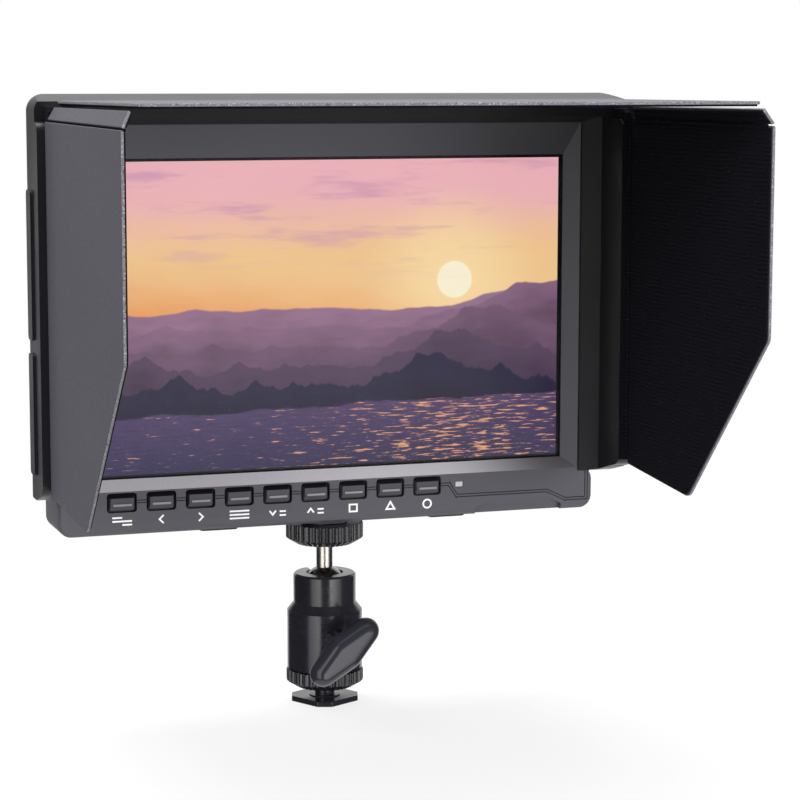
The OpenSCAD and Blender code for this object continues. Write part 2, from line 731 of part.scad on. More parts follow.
module hood_frame() color([0.16, 0.16, 0.18]) monitor() difference() {
    union() {
        slab(-top_fold, -lip_gap) difference() {
            frame_outline();
            rect(-well_x, frame_foot - 1, well_x, well_z);
        }
        slab(-lip_gap - eps, frame_skirt) difference() {
            frame_outline();
            rect(-frame_in_x, frame_foot - 1, frame_in_x, frame_in_z);
        }
        frame_lip();
        frame_wall(-1, left_fold);
        frame_wall(1, right_fold);
        // Grip pads on the outer sides
        for (s = [-1, 1], g = [[20, 56], [60, 104]]) side_slab(min(s * frame_out_x, s * (frame_out_x + 0.6)),
            max(s * frame_out_x, s * (frame_out_x + 0.6))) round_rect(-4, g[0], frame_skirt - 0.6, g[1], 1.5);
    }
    // The top falls away towards the front
    side_slab(-far, far) polygon([[frame_skirt, frame_out_z], [-60, frame_out_z - frame_draft * 63 / 12.4],
        [-60, frame_out_z + 20], [frame_skirt, frame_out_z + 20]]);
    // The lower edge rises towards the front
    side_slab(-far, far) polygon([[0, frame_foot], [-60, frame_foot + foot_slope * 60], [-60, 0], [0, 0]]);
}

// Outline of a side flap in Y and Z, in front of its fold line
module side_outline(axis_y, inset) {
    y0 = axis_y - root_gap - inset;
    y1 = -hood_reach + inset;
    z0 = flap_foot + inset;
    z1 = fold_z - inset;
    root = frame_foot - foot_slope * axis_y - root_gap + inset;
    polygon(rounded([[y0, root], [y0, z1], [y1, z1], [y1, kink_height], [-low_corner + inset, z0]],
        [0, 0, 0.8, 3, 5]));
}

// Outline of a tab in its own plane: Y, and height above the fold
module tab_outline(axis_y, inset) {
    y0 = axis_y - tab_start - inset;
    y1 = -hood_reach + inset;
    drop = (hood_reach - top_fold) * tan(top_rise);
    polygon([[y0, 0.1 + inset], [y0 - 1, tab_h - drop - inset], [y1 + 2, tab_h - inset], [y1, 0.1 + inset]]);
}

// Stands a drawing of the right-hand side in place, or mirrors it to the left
module on_side(side) {
    if (side > 0) children();
    else mirror([1, 0, 0]) children();
}

function fold_axis_y(side) = -(side > 0 ? right_fold : left_fold) - seat_gap;

module side_board(side) color(hood_grey) monitor() on_side(side)
    side_slab(side_in + lining_t, side_in + flap_t) side_outline(fold_axis_y(side), 0);

module side_lining(side) color(flock_black) monitor() on_side(side)
    side_slab(side_in, side_in + lining_t) side_outline(fold_axis_y(side), lining_inset);

module leaning(side) {
    monitor() on_side(side) translate([side_in, 0, fold_z]) rotate([0, -tab_lean, 0]) children();
}

module tab_board(side) color(hood_grey) leaning(side)
    side_slab(lining_t, flap_t) tab_outline(fold_axis_y(side), 0);

module tab_lining(side) color(flock_black) leaning(side)
    side_slab(0, lining_t) tab_outline(fold_axis_y(side), lining_inset);

module left_flap() side_board(-1);
module left_lining() side_lining(-1);
module left_tab() tab_board(-1);
module left_tab_lining() tab_lining(-1);
module right_flap() side_board(1);
module right_lining() side_lining(1);
module right_tab() tab_board(1);
module right_tab_lining() tab_lining(1);

module top_panel(z0, z1, inset) {
    reach = hood_reach - top_fold - seat_gap;
    monitor() translate([0, -top_fold - seat_gap, top_axis_z]) rotate([-top_rise, 0, 0])
        translate([0, 0, z0]) linear_extrude(z1 - z0)
            polygon(rounded([[-top_half + inset, -root_gap - inset], [-top_half + inset, -reach + inset],
                [top_half - inset, -reach + inset], [top_half - inset, -root_gap - inset]], [0, 1.2, 1.2, 0]));
}

module top_flap() color(hood_grey) top_panel(lining_t, flap_t, 0);
module top_lining() color(flock_black) top_panel(0, lining_t, lining_inset);

// Ball head
module knurled(r, z0, h) {
    difference() {
        union() {
            translate([0, 0, z0 + taper_h]) linear_extrude(h - taper_h) polygon(knurl_points(r, knurls, 0.8));
            // The ribs run in towards the lower face
            translate([0, 0, z0 + taper_h]) mirror([0, 0, 1]) linear_extrude(taper_h, scale = taper_end)
                polygon(knurl_points(r, knurls, 0.8));
        }
        // Chamfer round the upper face
        rotate_extrude($fn = 96)
            polygon([[r - 1, z0 + h + 1], [r + 1, z0 + h + 1], [r + 1, z0 + h - 1.2], [r - 1, z0 + h + 0.8]]);
        translate([0, 0, z0 - 1]) cylinder(r = stud_r + 0.07, h = h + 2, $fn = round_fn);
    }
}

module top_wheel() color(metal_black) knurled(wheel_r, wheel_z0, wheel_h);

module shoe_wheel() color(metal_black) knurled(wheel_r, shoe_wheel_z, shoe_wheel_h);

module ball_stem() color(steel) {
    translate([0, 0, ball_z]) sphere(ball_r, $fn = 96);
    translate([0, 0, ball_z]) cylinder(r = stem_r, h = wheel_z0 - ball_z - 0.3, $fn = round_fn);
    translate([0, 0, wheel_z0 - 0.4]) cylinder(r = stud_r, h = stud_top - wheel_z0, $fn = round_fn);
}

module head_body() color(metal_black) difference() {
    rotate_extrude($fn = 96) polygon([[0, head_z0], [body_r - 0.4, head_z0], [body_r, head_z0 + 0.4],
        [body_r, shoulder_z - cone_h], [neck_r, shoulder_z], [neck_r, rim_z - 0.6],
        [neck_r - 0.6, rim_z], [0, rim_z]]);
    translate([0, 0, head_z0 - 1]) cylinder(r = shaft_r, h = ball_z - head_z0 + 1, $fn = 96);
    translate([0, 0, ball_z]) sphere(socket_r, $fn = 96);
    translate([0, 0, ball_z]) cylinder(r = throat_r, h = rim_z, $fn = 96);
    // Slot that lets the stem drop to the level
    translate([0, 0, ball_z]) rotate([-90, 0, 0])
        cylinder(r = stem_r + slot_gap, h = neck_r + 2, $fn = round_fn);
    translate([-stem_r - slot_gap, 0, ball_z]) cube([2 * (stem_r + slot_gap), neck_r + 2, rim_z]);
    // Hole for the lock screw
    translate([0, 0, lever_z]) rotate([90, 0, 0])
        cylinder(r = screw_r + 0.06, h = body_r + 2, $fn = round_fn);
}

module ball_seat() color([0.85, 0.84, 0.8]) difference() {
    translate([0, 0, seat_z0]) cylinder(r = shaft_r - 0.08, h = ball_z - stem_r - slot_gap - seat_z0, $fn = 96);
    translate([0, 0, ball_z]) sphere(socket_r, $fn = 96);
}

module clamp_piston() color(brass) difference() {
    translate([0, 0, piston_z0]) cylinder(r = shaft_r - 0.08, h = seat_z0 - 0.2 - piston_z0, $fn = 96);
    translate([0, 0, lever_z]) rotate([90, 0, 0])
        cylinder(r1 = 0.9, r2 = screw_r + 0.9, h = shaft_r + 1, $fn = round_fn);
}

module head_plug() color(metal_black) difference() {
    translate([0, 0, head_z0]) cylinder(r = shaft_r - 0.06, h = plug_h, $fn = 96);
    translate([0, 0, head_z0 - 1]) cylinder(r = stud_r + 0.07, h = plug_h + 2, $fn = round_fn);
}

module lock_screw() color(steel) {
    translate([0, -shaft_r, lever_z]) rotate([90, 0, 0])
        cylinder(r = screw_r, h = paddle_back - shaft_r - 0.5, $fn = round_fn);
    translate([0, -2.6, lever_z]) rotate([90, 0, 0])
        cylinder(r1 = 1, r2 = screw_r, h = shaft_r - 2.6, $fn = round_fn);
}

// Paddle lever: a fluted collar and an oval grip that stands across the screw
module lock_lever() color([0.2, 0.2, 0.22]) {
    translate([0, -body_r - 0.3, lever_z]) rotate([90, 0, 0]) difference() {
        linear_extrude(paddle_back - body_r) polygon(knurl_points(collar_r, 12, 0.8));
        translate([0, 0, -1]) cylinder(r = screw_r + 0.06, h = far, $fn = round_fn);
    }
    translate([0, -paddle_back, lever_z]) rotate([0, -paddle_turn, 0]) hull()
        for (s = paddle_steps) slab(-s[0] * paddle_t - eps, -s[0] * paddle_t) oval(s[1]);
}

// Outline of the paddle, fuller in its middle than at its ends
module oval(in) {
    hull() {
        for (s = [-1, 1]) translate([s * (paddle_l - paddle_w * 0.72) / 2, 0])
            circle(paddle_w * 0.36 - in, $fn = 40);
        circle(paddle_w / 2 - in, $fn = 64);
    }
}

module shoe_foot() color(metal_black) {
    rotate(foot_turn) difference() {
        translate([-foot_side / 2, -foot_side / 2, 0]) cube([foot_side, foot_side, foot_t]);
        for (a = [45 : 90 : 315]) rotate(a)
            translate([foot_side / sqrt(2) - foot_cut, -foot_side / 2, -1]) cube([foot_side, foot_side, foot_t + 2]);
    }
    cylinder(r = 5, h = foot_t + 0.3, $fn = round_fn);
    translate([0, 0, foot_t]) cylinder(r = stud_r, h = head_z0 + plug_h - foot_t - 0.4, $fn = round_fn);
}

module key_1() key(1);
module key_2() key(2);
module key_3() key(3);
module key_4() key(4);
module key_5() key(5);
module key_6() key(6);
module key_7() key(7);
module key_8() key(8);
module key_9() key(9);

front_housing();
rear_housing();
screen_glass();
glass_gasket();
lcd_panel();
lcd_bracket();
main_board();
key_board();
hdmi_socket();
power_socket();
headphone_socket();
speaker();
housing_screws();
board_screws();
mount_insert();
bottom_pads();
status_light();
battery_plate();
plate_screws();
battery_contacts();
battery_latch();
key_1();
key_2();
key_3();
key_4();
key_5();
key_6();
key_7();
key_8();
key_9();
hood_frame();
top_flap();
top_lining();
left_flap();
left_lining();
left_tab();
left_tab_lining();
right_flap();
right_lining();
right_tab();
right_tab_lining();
top_wheel();
ball_stem();
head_body();
ball_seat();
clamp_piston();
head_plug();
lock_screw();
lock_lever();
shoe_wheel();
shoe_foot();
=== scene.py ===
"""Looks of the camera field monitor with sun hood: finishes, soft edges, lit picture and trim."""

import json
import math

import bmesh
import bpy
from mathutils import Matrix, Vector

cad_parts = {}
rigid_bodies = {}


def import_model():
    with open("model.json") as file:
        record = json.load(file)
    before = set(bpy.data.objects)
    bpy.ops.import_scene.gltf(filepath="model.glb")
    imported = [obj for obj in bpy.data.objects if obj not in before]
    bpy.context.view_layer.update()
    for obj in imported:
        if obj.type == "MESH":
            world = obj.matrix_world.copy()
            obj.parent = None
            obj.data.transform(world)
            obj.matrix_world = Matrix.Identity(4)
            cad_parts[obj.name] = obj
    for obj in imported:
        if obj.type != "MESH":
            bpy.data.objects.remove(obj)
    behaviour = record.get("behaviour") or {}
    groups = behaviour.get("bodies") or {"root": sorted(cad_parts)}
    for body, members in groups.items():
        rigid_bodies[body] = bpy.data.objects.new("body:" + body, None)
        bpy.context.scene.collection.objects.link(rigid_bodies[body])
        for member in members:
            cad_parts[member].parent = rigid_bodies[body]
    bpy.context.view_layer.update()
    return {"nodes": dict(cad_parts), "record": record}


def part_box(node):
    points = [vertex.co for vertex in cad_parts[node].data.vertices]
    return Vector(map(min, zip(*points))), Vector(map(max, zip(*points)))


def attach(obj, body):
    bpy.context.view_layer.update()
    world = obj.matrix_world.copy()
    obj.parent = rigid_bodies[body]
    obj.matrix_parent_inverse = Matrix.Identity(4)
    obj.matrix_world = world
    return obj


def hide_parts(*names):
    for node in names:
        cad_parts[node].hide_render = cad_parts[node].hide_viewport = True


bl_info = {
    "name": "Field Monitor Looks",
    "version": (1, 0, 0),
    "blender": (4, 5, 0),
    "location": "3D View > Sidebar > Monitor",
    "description": "Dresses a field monitor with sun hood and ball head: finishes, screen picture, trim",
    "category": "Object",
}

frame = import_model()

# The monitor's own corner of reference: middle of its width, face of the key panel, base of the case
FACE_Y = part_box("front_housing")[0].y
BASE_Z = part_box("front_housing")[0].z
MM = 0.001

# Millimetres above the base of the case: middle of the signs, middle of the bars on the keys
SIGN_HEIGHT = 4.2
BAR_HEIGHT = 9.2
SIGN_RISE = 0.05
LCD_RIM = 3.4
HILLS = 5

# Name, angles from the right of the set, lowest and highest point, strength at either side
CARDS = (("left_card", -158, -120, -1.1, 1.0, 1.0, 2.4),
         ("right_card", -88, -42, -1.1, -0.12, 3.8, 0.4))
CARD_RADIUS = 1.7
CLOTH_RADIUS = 3.0

# Name, place, size and watts
LAMPS = (("Key lamp", (-1.1, -1.1, 0.7), (0.8, 1.2), 15.0),
         ("Fill lamp", (0.8, -1.35, 0.2), (0.7, 0.5), 17.0),
         ("Top lamp", (0.0, 0.25, 1.3), (1.6, 0.9), 26.0),
         ("Back lamp", (-0.7, 1.2, 0.9), (0.9, 0.9), 10.0))
LAMP_TARGET = (0.0, -0.03, 0.11)

# The camera that was fitted to the photograph
CAMERA_SPOT = (-228.0, -725.1, 140.0)
CAMERA_TURN = (90 - 7.63, -0.09, -18.96)
CAMERA_LENS = 112.3

# Rolls in the folds, by the axis they lie along: free length at the low and the high end, radius
ROLLS = {0: (0.6, 0.6, 0.42), 1: (2.4, -0.8, 0.7), 2: (4.2, 0.6, 0.42)}
STRIP_WIDTH = 2.6
STRIP_FREE = (4.2, 1.2)

# Outlines of the gusset's two layers seen from the side, each with its inner and outer face
GUSSET = (
    ([(-0.2, -1.4), (-0.2, 0.7), (-3.1, 0.7), (-3.1, 3.4), (-1.8, 4.7), (11.5, 4.7), (11.5, -1.4)],
     (0.1, 0.95)),
    ([(0.1, -1.4), (0.1, 2.4), (1.2, 3.7), (8.5, 3.7), (8.5, -1.4)], (-2.0, 0.5)),
)

# Millimetres that a key's front stands in from its hole, and the stretch of its bar
KEY_BESIDE = 0.32
KEY_ABOVE = 0.75
KEY_BELOW = 0.2
BAR_STRETCH = 1.1


def place(x, y, z):
    """A point given in millimetres from the monitor's corner of reference."""
    return Vector((x * MM, FACE_Y + y * MM, BASE_Z + z * MM))


def screen_colour(red, green, blue):
    """A colour as a screen shows it, from 0 to 255, in Blender's linear numbers."""
    tones = []
    for value in (red, green, blue):
        share = value / 255
        tones.append(share / 12.92 if share <= 0.04045 else ((share + 0.055) / 1.055) ** 2.4)
    return (*tones, 1.0)


def colour_property(name, description, rgb):
    return bpy.props.FloatVectorProperty(
        name=name, description=description, subtype="COLOR", size=4, min=0, max=1,
        default=screen_colour(*rgb))


def length_property(name, description, millimetres):
    return bpy.props.FloatProperty(
        name=name, description=description, subtype="DISTANCE", unit="LENGTH", min=0,
        default=millimetres * MM, precision=5)


# Settings


class CaseSettings(bpy.types.PropertyGroup):
    shell: colour_property("Housing", "Moulded plastic of the case", (78, 77, 84))
    key: colour_property("Keys", "Moulded plastic of the keys", (60, 59, 66))
    # This pale colour is a painted highlight on the front of the bars on the keys
    key_bar_highlight: colour_property("Key line", "Worn front of the bars on the keys", (132, 131, 138))
    black: colour_property("Black plastic", "Sockets, plate and speaker", (30, 30, 33))
    print: colour_property("Print", "Signs under the keys", (250, 250, 250))
    # The pale colour of the lower bevel is a painted sheen
    bevel: colour_property("Lower bevel", "Pale slope under the picture", (201, 197, 204))
    soft_edge: length_property("Soft edge", "Rounding of the case's edges", 0.35)
    key_edge: length_property("Key edge", "Rounding of the keys' edges", 0.16)
    sign_line: length_property("Sign line", "Line width of the printed signs", 0.52)


class ScreenSettings(bpy.types.PropertyGroup):
    sky_top: colour_property("Sky, high", "Top of the evening sky", (240, 180, 188))
    sky_mid: colour_property("Sky, middle", "Middle of the evening sky", (244, 200, 142))
    sky_low: colour_property("Sky, low", "Sky over the hills", (236, 146, 76))
    hill_far: colour_property("Far hills", "Haze of the furthest hills", (150, 112, 140))
    hill_near: colour_property("Near hills", "Nearest hills", (34, 30, 60))
    water: colour_property("Water", "Still water", (44, 38, 78))
    glow: bpy.props.FloatProperty(name="Glow", description="Brightness of the lit picture",
                                  min=0, max=3, default=1.0)


class HoodSettings(bpy.types.PropertyGroup):
    board: colour_property("Boards", "Outer face of the flaps", (78, 77, 85))
    rim: colour_property("Rims", "Cut edges of the flaps", (112, 112, 117))
    flock: colour_property("Flock", "Lining of the flaps", (23, 22, 28))
    frame: colour_property("Frame", "Frame that carries the flaps", (20, 20, 24))
    rib_pitch: length_property("Rib pitch", "Distance of the ribs in the lining", 1.2)
    soft_edge: length_property("Soft edge", "Rounding of the frame's edges", 0.45)
    board_edge: length_property("Board edge", "Rounding of the flaps' edges", 0.22)


class HeadSettings(bpy.types.PropertyGroup):
    black: colour_property("Black metal", "Anodised metal of the head", (36, 35, 41))
    steel: colour_property("Steel", "Turned steel of the stem", (226, 219, 212))
    # The ball's colour is the stem's steel darkened as painted shade
    ball: colour_property("Ball", "Darker steel of the ball", (138, 131, 128))
    lever: colour_property("Lever", "Plastic of the lever", (46, 46, 54))
    soft_edge: length_property("Soft edge", "Rounding of the metal's edges", 0.3)


class StageSettings(bpy.types.PropertyGroup):
    floor: colour_property("Floor", "Pale floor", (246, 246, 246))
    lamp_power: bpy.props.FloatProperty(name="Lamps", description="Strength of the soft lamps",
                                        subtype="FACTOR", min=0, max=3, default=1.0)
    surround: bpy.props.FloatProperty(name="Surround", description="Light from all round",
                                      subtype="FACTOR", min=0, max=2, default=0.42)


# Nodes


class Nodes:
    """Adds nodes to a material or a group, and joins them."""

    def __init__(self, tree):
        self.tree = tree

    def add(self, kind, inputs=None, **settings):
        node = self.tree.nodes.new(kind)
        for key, value in settings.items():
            setattr(node, key, value)
        self.feed(node, inputs or {})
        return node

    def feed(self, node, inputs):
        """Sets a node's inputs, with a link where another node's output is given."""
        for key, value in inputs.items():
            if isinstance(value, bpy.types.NodeSocket):
                self.tree.links.new(value, node.inputs[key])
            else:
                node.inputs[key].default_value = value

    def where(self):
        return self.add("ShaderNodeTexCoord").outputs["Object"]

    def sum(self, operation, first, second=0.0):
        return self.add("ShaderNodeMath", {0: first, 1: second}, operation=operation).outputs[0]

    def blend(self, first, first_share, second, second_share):
        """The sum of two values, each times its share."""
        return self.sum("ADD", self.sum("MULTIPLY", first, first_share),
                        self.sum("MULTIPLY", second, second_share))

    def mix(self, share, first, second):
        return self.add("ShaderNodeMix", {0: share, 6: first, 7: second}, data_type="RGBA").outputs[2]

    def spread(self, value, low, high, from_low=0.0, from_high=1.0, smooth=False):
        node = self.add("ShaderNodeMapRange", {
            "Value": value, "From Min": from_low, "From Max": from_high, "To Min": low, "To Max": high})
        if smooth:
            node.interpolation_type = "SMOOTHSTEP"
        return node.outputs["Result"]

    def swing(self, value, amount, from_low=0.3, from_high=0.7):
        """A factor about 1 that follows a value by an amount either way."""
        low, high = self.sum("SUBTRACT", 1.0, amount), self.sum("ADD", 1.0, amount)
        return self.spread(value, low, high, from_low, from_high)

    def noise(self, vector, scale, detail=2.0, roughness=0.5):
        return self.add("ShaderNodeTexNoise", {"Vector": vector, "Scale": scale, "Detail": detail,
                                               "Roughness": roughness}).outputs[0]

    def stretched(self, vector, x, y, z):
        return self.add("ShaderNodeMapping", {"Vector": vector, "Scale": (x, y, z)}).outputs[0]

    def shade(self, colour, factor):
        if not isinstance(colour, bpy.types.NodeSocket):
            colour = tuple(colour)[:3]
        return self.add("ShaderNodeVectorMath", {0: colour, "Scale": factor},
                        operation="SCALE").outputs[0]

    def bump(self, height, strength, distance):
        return self.add("ShaderNodeBump", {"Height": height, "Strength": strength,
                                           "Distance": distance}).outputs[0]


FLOAT, COLOUR, VECTOR = "NodeSocketFloat", "NodeSocketColor", "NodeSocketVector"


def start_group(name, inputs, outputs):
    """A new shader node group with named inputs and outputs."""
    group = bpy.data.node_groups.new(name, "ShaderNodeTree")
    for label, kind, value in inputs:
        group.interface.new_socket(label, in_out="INPUT", socket_type=kind).default_value = value
    for label, kind in outputs:
        group.interface.new_socket(label, in_out="OUTPUT", socket_type=kind)
    nodes = Nodes(group)
    return group, nodes, nodes.add("NodeGroupInput"), nodes.add("NodeGroupOutput")


def moulded_grain():
    """Fine eroded grain of moulded plastic, with slow changes of tone."""
    if "Moulded grain" in bpy.data.node_groups:
        return bpy.data.node_groups["Moulded grain"]
    group, nodes, given, out = start_group(
        "Moulded grain",
        [("Colour", COLOUR, (0.1, 0.1, 0.1, 1)), ("Tone", FLOAT, 0.08), ("Roughness", FLOAT, 0.5),
         ("Scale", FLOAT, 2600.0)],
        [("Colour", COLOUR), ("Roughness", FLOAT), ("Height", FLOAT)])
    where = nodes.where()
    fine = nodes.noise(where, given.outputs["Scale"], 3.0, 0.6)
    slow = nodes.noise(where, 34.0, 2.0)
    blend = nodes.blend(fine, 0.4, slow, 0.6)
    rough = nodes.sum("ADD", given.outputs["Roughness"], nodes.spread(blend, -0.06, 0.06, 0.3, 0.7))
    colour = nodes.shade(given.outputs["Colour"], nodes.swing(blend, given.outputs["Tone"]))
    nodes.feed(out, {"Colour": colour, "Roughness": rough, "Height": fine})
    return group


def leather_grain():
    """Small rounded cells of a coated board, with pores between them."""
    if "Leather grain" in bpy.data.node_groups:
        return bpy.data.node_groups["Leather grain"]
    group, nodes, given, out = start_group(
        "Leather grain",
        [("Colour", COLOUR, (0.1, 0.1, 0.1, 1)), ("Tone", FLOAT, 0.1), ("Roughness", FLOAT, 0.6),
         ("Scale", FLOAT, 1100.0)],
        [("Colour", COLOUR), ("Roughness", FLOAT), ("Height", FLOAT)])
    where = nodes.where()
    waves = nodes.add("ShaderNodeTexNoise", {"Vector": where, "Scale": 600.0}).outputs[1]
    bent = nodes.add("ShaderNodeVectorMath", {0: where, 1: nodes.shade(waves, 0.0006)},
                     operation="ADD").outputs[0]
    cells = nodes.add("ShaderNodeTexVoronoi", {
        "Vector": bent, "Scale": given.outputs["Scale"], "Smoothness": 0.4},
        feature="SMOOTH_F1").outputs["Distance"]
    blend = nodes.blend(cells, 0.35, nodes.noise(where, 26.0, 2.0), 0.65)
    rough = nodes.sum("ADD", given.outputs["Roughness"], nodes.spread(cells, -0.05, 0.08))
    colour = nodes.shade(given.outputs["Colour"], nodes.swing(blend, given.outputs["Tone"], 0.65, 0.25))
    nodes.feed(out, {"Colour": colour, "Roughness": rough, "Height": nodes.spread(cells, 1.0, 0.0)})
    return group


def ribbed_flock():
    """Black flock laid on a ribbed cloth, with a few light fibres."""
    if "Ribbed flock" in bpy.data.node_groups:
        return bpy.data.node_groups["Ribbed flock"]
    group, nodes, given, out = start_group(
        "Ribbed flock",
        [("Colour", COLOUR, (0.01, 0.01, 0.01, 1)), ("Across", VECTOR, (0, 0, 1)),
         ("Pitch", FLOAT, 0.0012), ("Fibres", FLOAT, 0.5)],
        [("Colour", COLOUR), ("Height", FLOAT)])
    where = nodes.where()
    along = nodes.add("ShaderNodeVectorMath", {0: where, 1: given.outputs["Across"]},
                      operation="DOT_PRODUCT").outputs["Value"]
    turns = nodes.sum("DIVIDE", along, given.outputs["Pitch"])
    wander = nodes.sum("MULTIPLY", nodes.noise(where, 160.0, 2.0), 1.1)
    rib = nodes.sum("SINE", nodes.sum("MULTIPLY", nodes.sum("ADD", turns, wander), math.tau))
    broken = nodes.spread(nodes.noise(where, 240.0, 2.0), 0.0, 1.0, 0.35, 0.65)
    rib = nodes.sum("MULTIPLY", rib, broken)
    fuzz = nodes.noise(where, 4200.0, 2.0, 0.7)
    shade = nodes.sum("ADD", nodes.spread(rib, 0.55, 1.45, -1.0, 1.0),
                      nodes.spread(fuzz, -0.4, 0.4, 0.3, 0.7))
    fibre = nodes.spread(nodes.noise(where, 2300.0, 1.0, 0.4), 0.0, 1.0, 0.72, 0.8)
    tint = nodes.mix(nodes.sum("MULTIPLY", fibre, given.outputs["Fibres"]),
                     nodes.shade(given.outputs["Colour"], shade), (0.2, 0.2, 0.22, 1))
    nodes.feed(out, {"Colour": tint, "Height": nodes.blend(rib, 0.4, fuzz, 0.8)})
    return group


def specks():
    """Light specks and lint over a colour."""
    if "Specks" in bpy.data.node_groups:
        return bpy.data.node_groups["Specks"]
    group, nodes, given, out = start_group(
        "Specks",
        [("Colour", COLOUR, (0.1, 0.1, 0.1, 1)), ("Speck", COLOUR, (0.6, 0.6, 0.6, 1)),
         ("Amount", FLOAT, 0.5), ("Scale", FLOAT, 1500.0)],
        [("Colour", COLOUR), ("Mask", FLOAT)])
    where = nodes.where()
    grains = nodes.noise(where, given.outputs["Scale"], 3.0, 0.65)
    edge = nodes.sum("SUBTRACT", 0.78, nodes.sum("MULTIPLY", given.outputs["Amount"], 0.3))
    mask = nodes.spread(grains, 0.0, 1.0, edge, nodes.sum("ADD", edge, 0.08))
    colour = nodes.mix(mask, given.outputs["Colour"], given.outputs["Speck"])
    nodes.feed(out, {"Colour": colour, "Mask": mask})
    return group


def turned_lines():
    """Fine lines that a lathe leaves round the upright axis."""
    if "Turned lines" in bpy.data.node_groups:
        return bpy.data.node_groups["Turned lines"]
    group, nodes, given, out = start_group(
        "Turned lines",
        [("Colour", COLOUR, (0.5, 0.5, 0.5, 1)), ("Tone", FLOAT, 0.1), ("Roughness", FLOAT, 0.3)],
        [("Colour", COLOUR), ("Roughness", FLOAT), ("Height", FLOAT)])
    where = nodes.where()
    lines = nodes.noise(nodes.stretched(where, 1.0, 1.0, 90.0), 60.0, 3.0, 0.6)
    smudge = nodes.noise(where, 120.0, 2.0)
    uneven = nodes.sum("ADD", nodes.spread(lines, -0.05, 0.05, 0.3, 0.7),
                       nodes.spread(smudge, -0.05, 0.08, 0.3, 0.7))
    rough = nodes.sum("ADD", given.outputs["Roughness"], uneven)
    colour = nodes.shade(given.outputs["Colour"], nodes.swing(lines, given.outputs["Tone"]))
    nodes.feed(out, {"Colour": colour, "Roughness": rough, "Height": lines})
    return group


# Materials


def start_material(name, **sockets):
    """A new material with one Principled BSDF, whose plain numbers are set on its own sockets."""
    material = bpy.data.materials.new(name)
    material.use_nodes = True
    nodes = Nodes(material.node_tree)
    shader = material.node_tree.nodes["Principled BSDF"]
    nodes.feed(shader, sockets)
    return material, nodes, shader


# Grain, tone, roughness, scale of the grain, its depth in millimetres and its strength
FINISHES = {
    "Housing plastic": (moulded_grain, 0.07, 0.5, 2600.0, 0.04, 0.35),
    "Key plastic": (moulded_grain, 0.06, 0.38, 3200.0, 0.03, 0.25),
    # A painted highlight on the bars of the keys
    "Key line": (moulded_grain, 0.08, 0.35, 3200.0, 0.03, 0.25),
    "Black plastic": (moulded_grain, 0.1, 0.45, 2400.0, 0.04, 0.35),
    "Red plastic": (moulded_grain, 0.08, 0.4, 2600.0, 0.03, 0.35),
    "Frame plastic": (moulded_grain, 0.09, 0.42, 1900.0, 0.05, 0.35),
    "Board skin": (leather_grain, 0.05, 0.62, 1300.0, 0.06, 0.3),
    "Rubber pad": (moulded_grain, 0.12, 0.8, 900.0, 0.08, 0.5),
    "Black metal": (turned_lines, 0.12, 0.2, None, 0.01, 0.12),
    "Turned steel": (turned_lines, 0.08, 0.26, None, 0.01, 0.2),
    # Steel darkened as painted shade for the ball
    "Ball steel": (turned_lines, 0.08, 0.16, None, 0.01, 0.1),
    "Sheet steel": (turned_lines, 0.07, 0.34, None, 0.01, 0.2),
    "Turned brass": (turned_lines, 0.08, 0.3, None, 0.01, 0.2),
    "Lever plastic": (moulded_grain, 0.08, 0.2, 2600.0, 0.02, 0.12),
    "Nylon": (moulded_grain, 0.04, 0.45, 1500.0, 0.03, 0.35),
    "Circuit board": (moulded_grain, 0.12, 0.4, 700.0, 0.03, 0.35),
    "Gasket foam": (moulded_grain, 0.15, 0.9, 1800.0, 0.1, 0.6),
    "Light lens": (moulded_grain, 0.06, 0.3, 2200.0, 0.03, 0.35),
    "Sign ink": (moulded_grain, 0.05, 0.5, 3000.0, 0.01, 0.35),
}

# Colours of the finishes that no setting gives
OWN_COLOURS = {
    "Red plastic": (150, 34, 30), "Rubber pad": (34, 34, 36), "Sheet steel": (190, 188, 186),
    "Turned brass": (206, 168, 92), "Nylon": (222, 220, 212), "Circuit board": (26, 92, 58),
    "Gasket foam": (22, 22, 24), "Light lens": (186, 186, 182),
}

BARE_METAL = {"Metallic": 1.0}
EXTRAS = {"Black metal": {"Specular IOR Level": 0.7}, "Turned steel": BARE_METAL,
          "Ball steel": BARE_METAL, "Sheet steel": BARE_METAL, "Turned brass": BARE_METAL}


def finish(name, colour=None):
    """A plastic, board or metal of the table, whose grain comes from one of the grain groups."""
    if name in bpy.data.materials:
        return bpy.data.materials[name]
    grain, tone, roughness, scale, depth, strength = FINISHES[name]
    material, nodes, shader = start_material(name, **EXTRAS.get(name, {}))
    if colour is None:
        colour = screen_colour(*OWN_COLOURS[name])
    values = {"Colour": colour, "Tone": tone, "Roughness": roughness}
    if scale:
        values["Scale"] = scale
    skin = nodes.add("ShaderNodeGroup", values, node_tree=grain()).outputs
    nodes.feed(shader, {"Base Color": skin["Colour"], "Roughness": skin["Roughness"],
                        "Normal": nodes.bump(skin["Height"], strength, depth * MM)})
    return material


def painted_bevel_sheen(case):
    """Painted sheen on the slope under the picture, with painted shade that darkens it towards its right
    end.
    """
    material, nodes, shader = start_material("Bevel paint", **{"Roughness": 0.5})
    where = nodes.where()
    across = nodes.add("ShaderNodeSeparateXYZ", {0: where}).outputs["X"]
    fine = nodes.noise(where, 2600.0, 3.0, 0.6)
    # Painted shade: the painted sheen grows darker towards the right end of the slope
    factor = nodes.sum("MULTIPLY", nodes.spread(fine, 0.94, 1.06, 0.3, 0.7),
                       nodes.spread(across, 1.0, 0.2, 0.035, 0.078, True))
    nodes.feed(shader, {"Base Color": nodes.shade(case.bevel, factor),
                        "Normal": nodes.bump(fine, 0.35, 0.00004)})
    return material


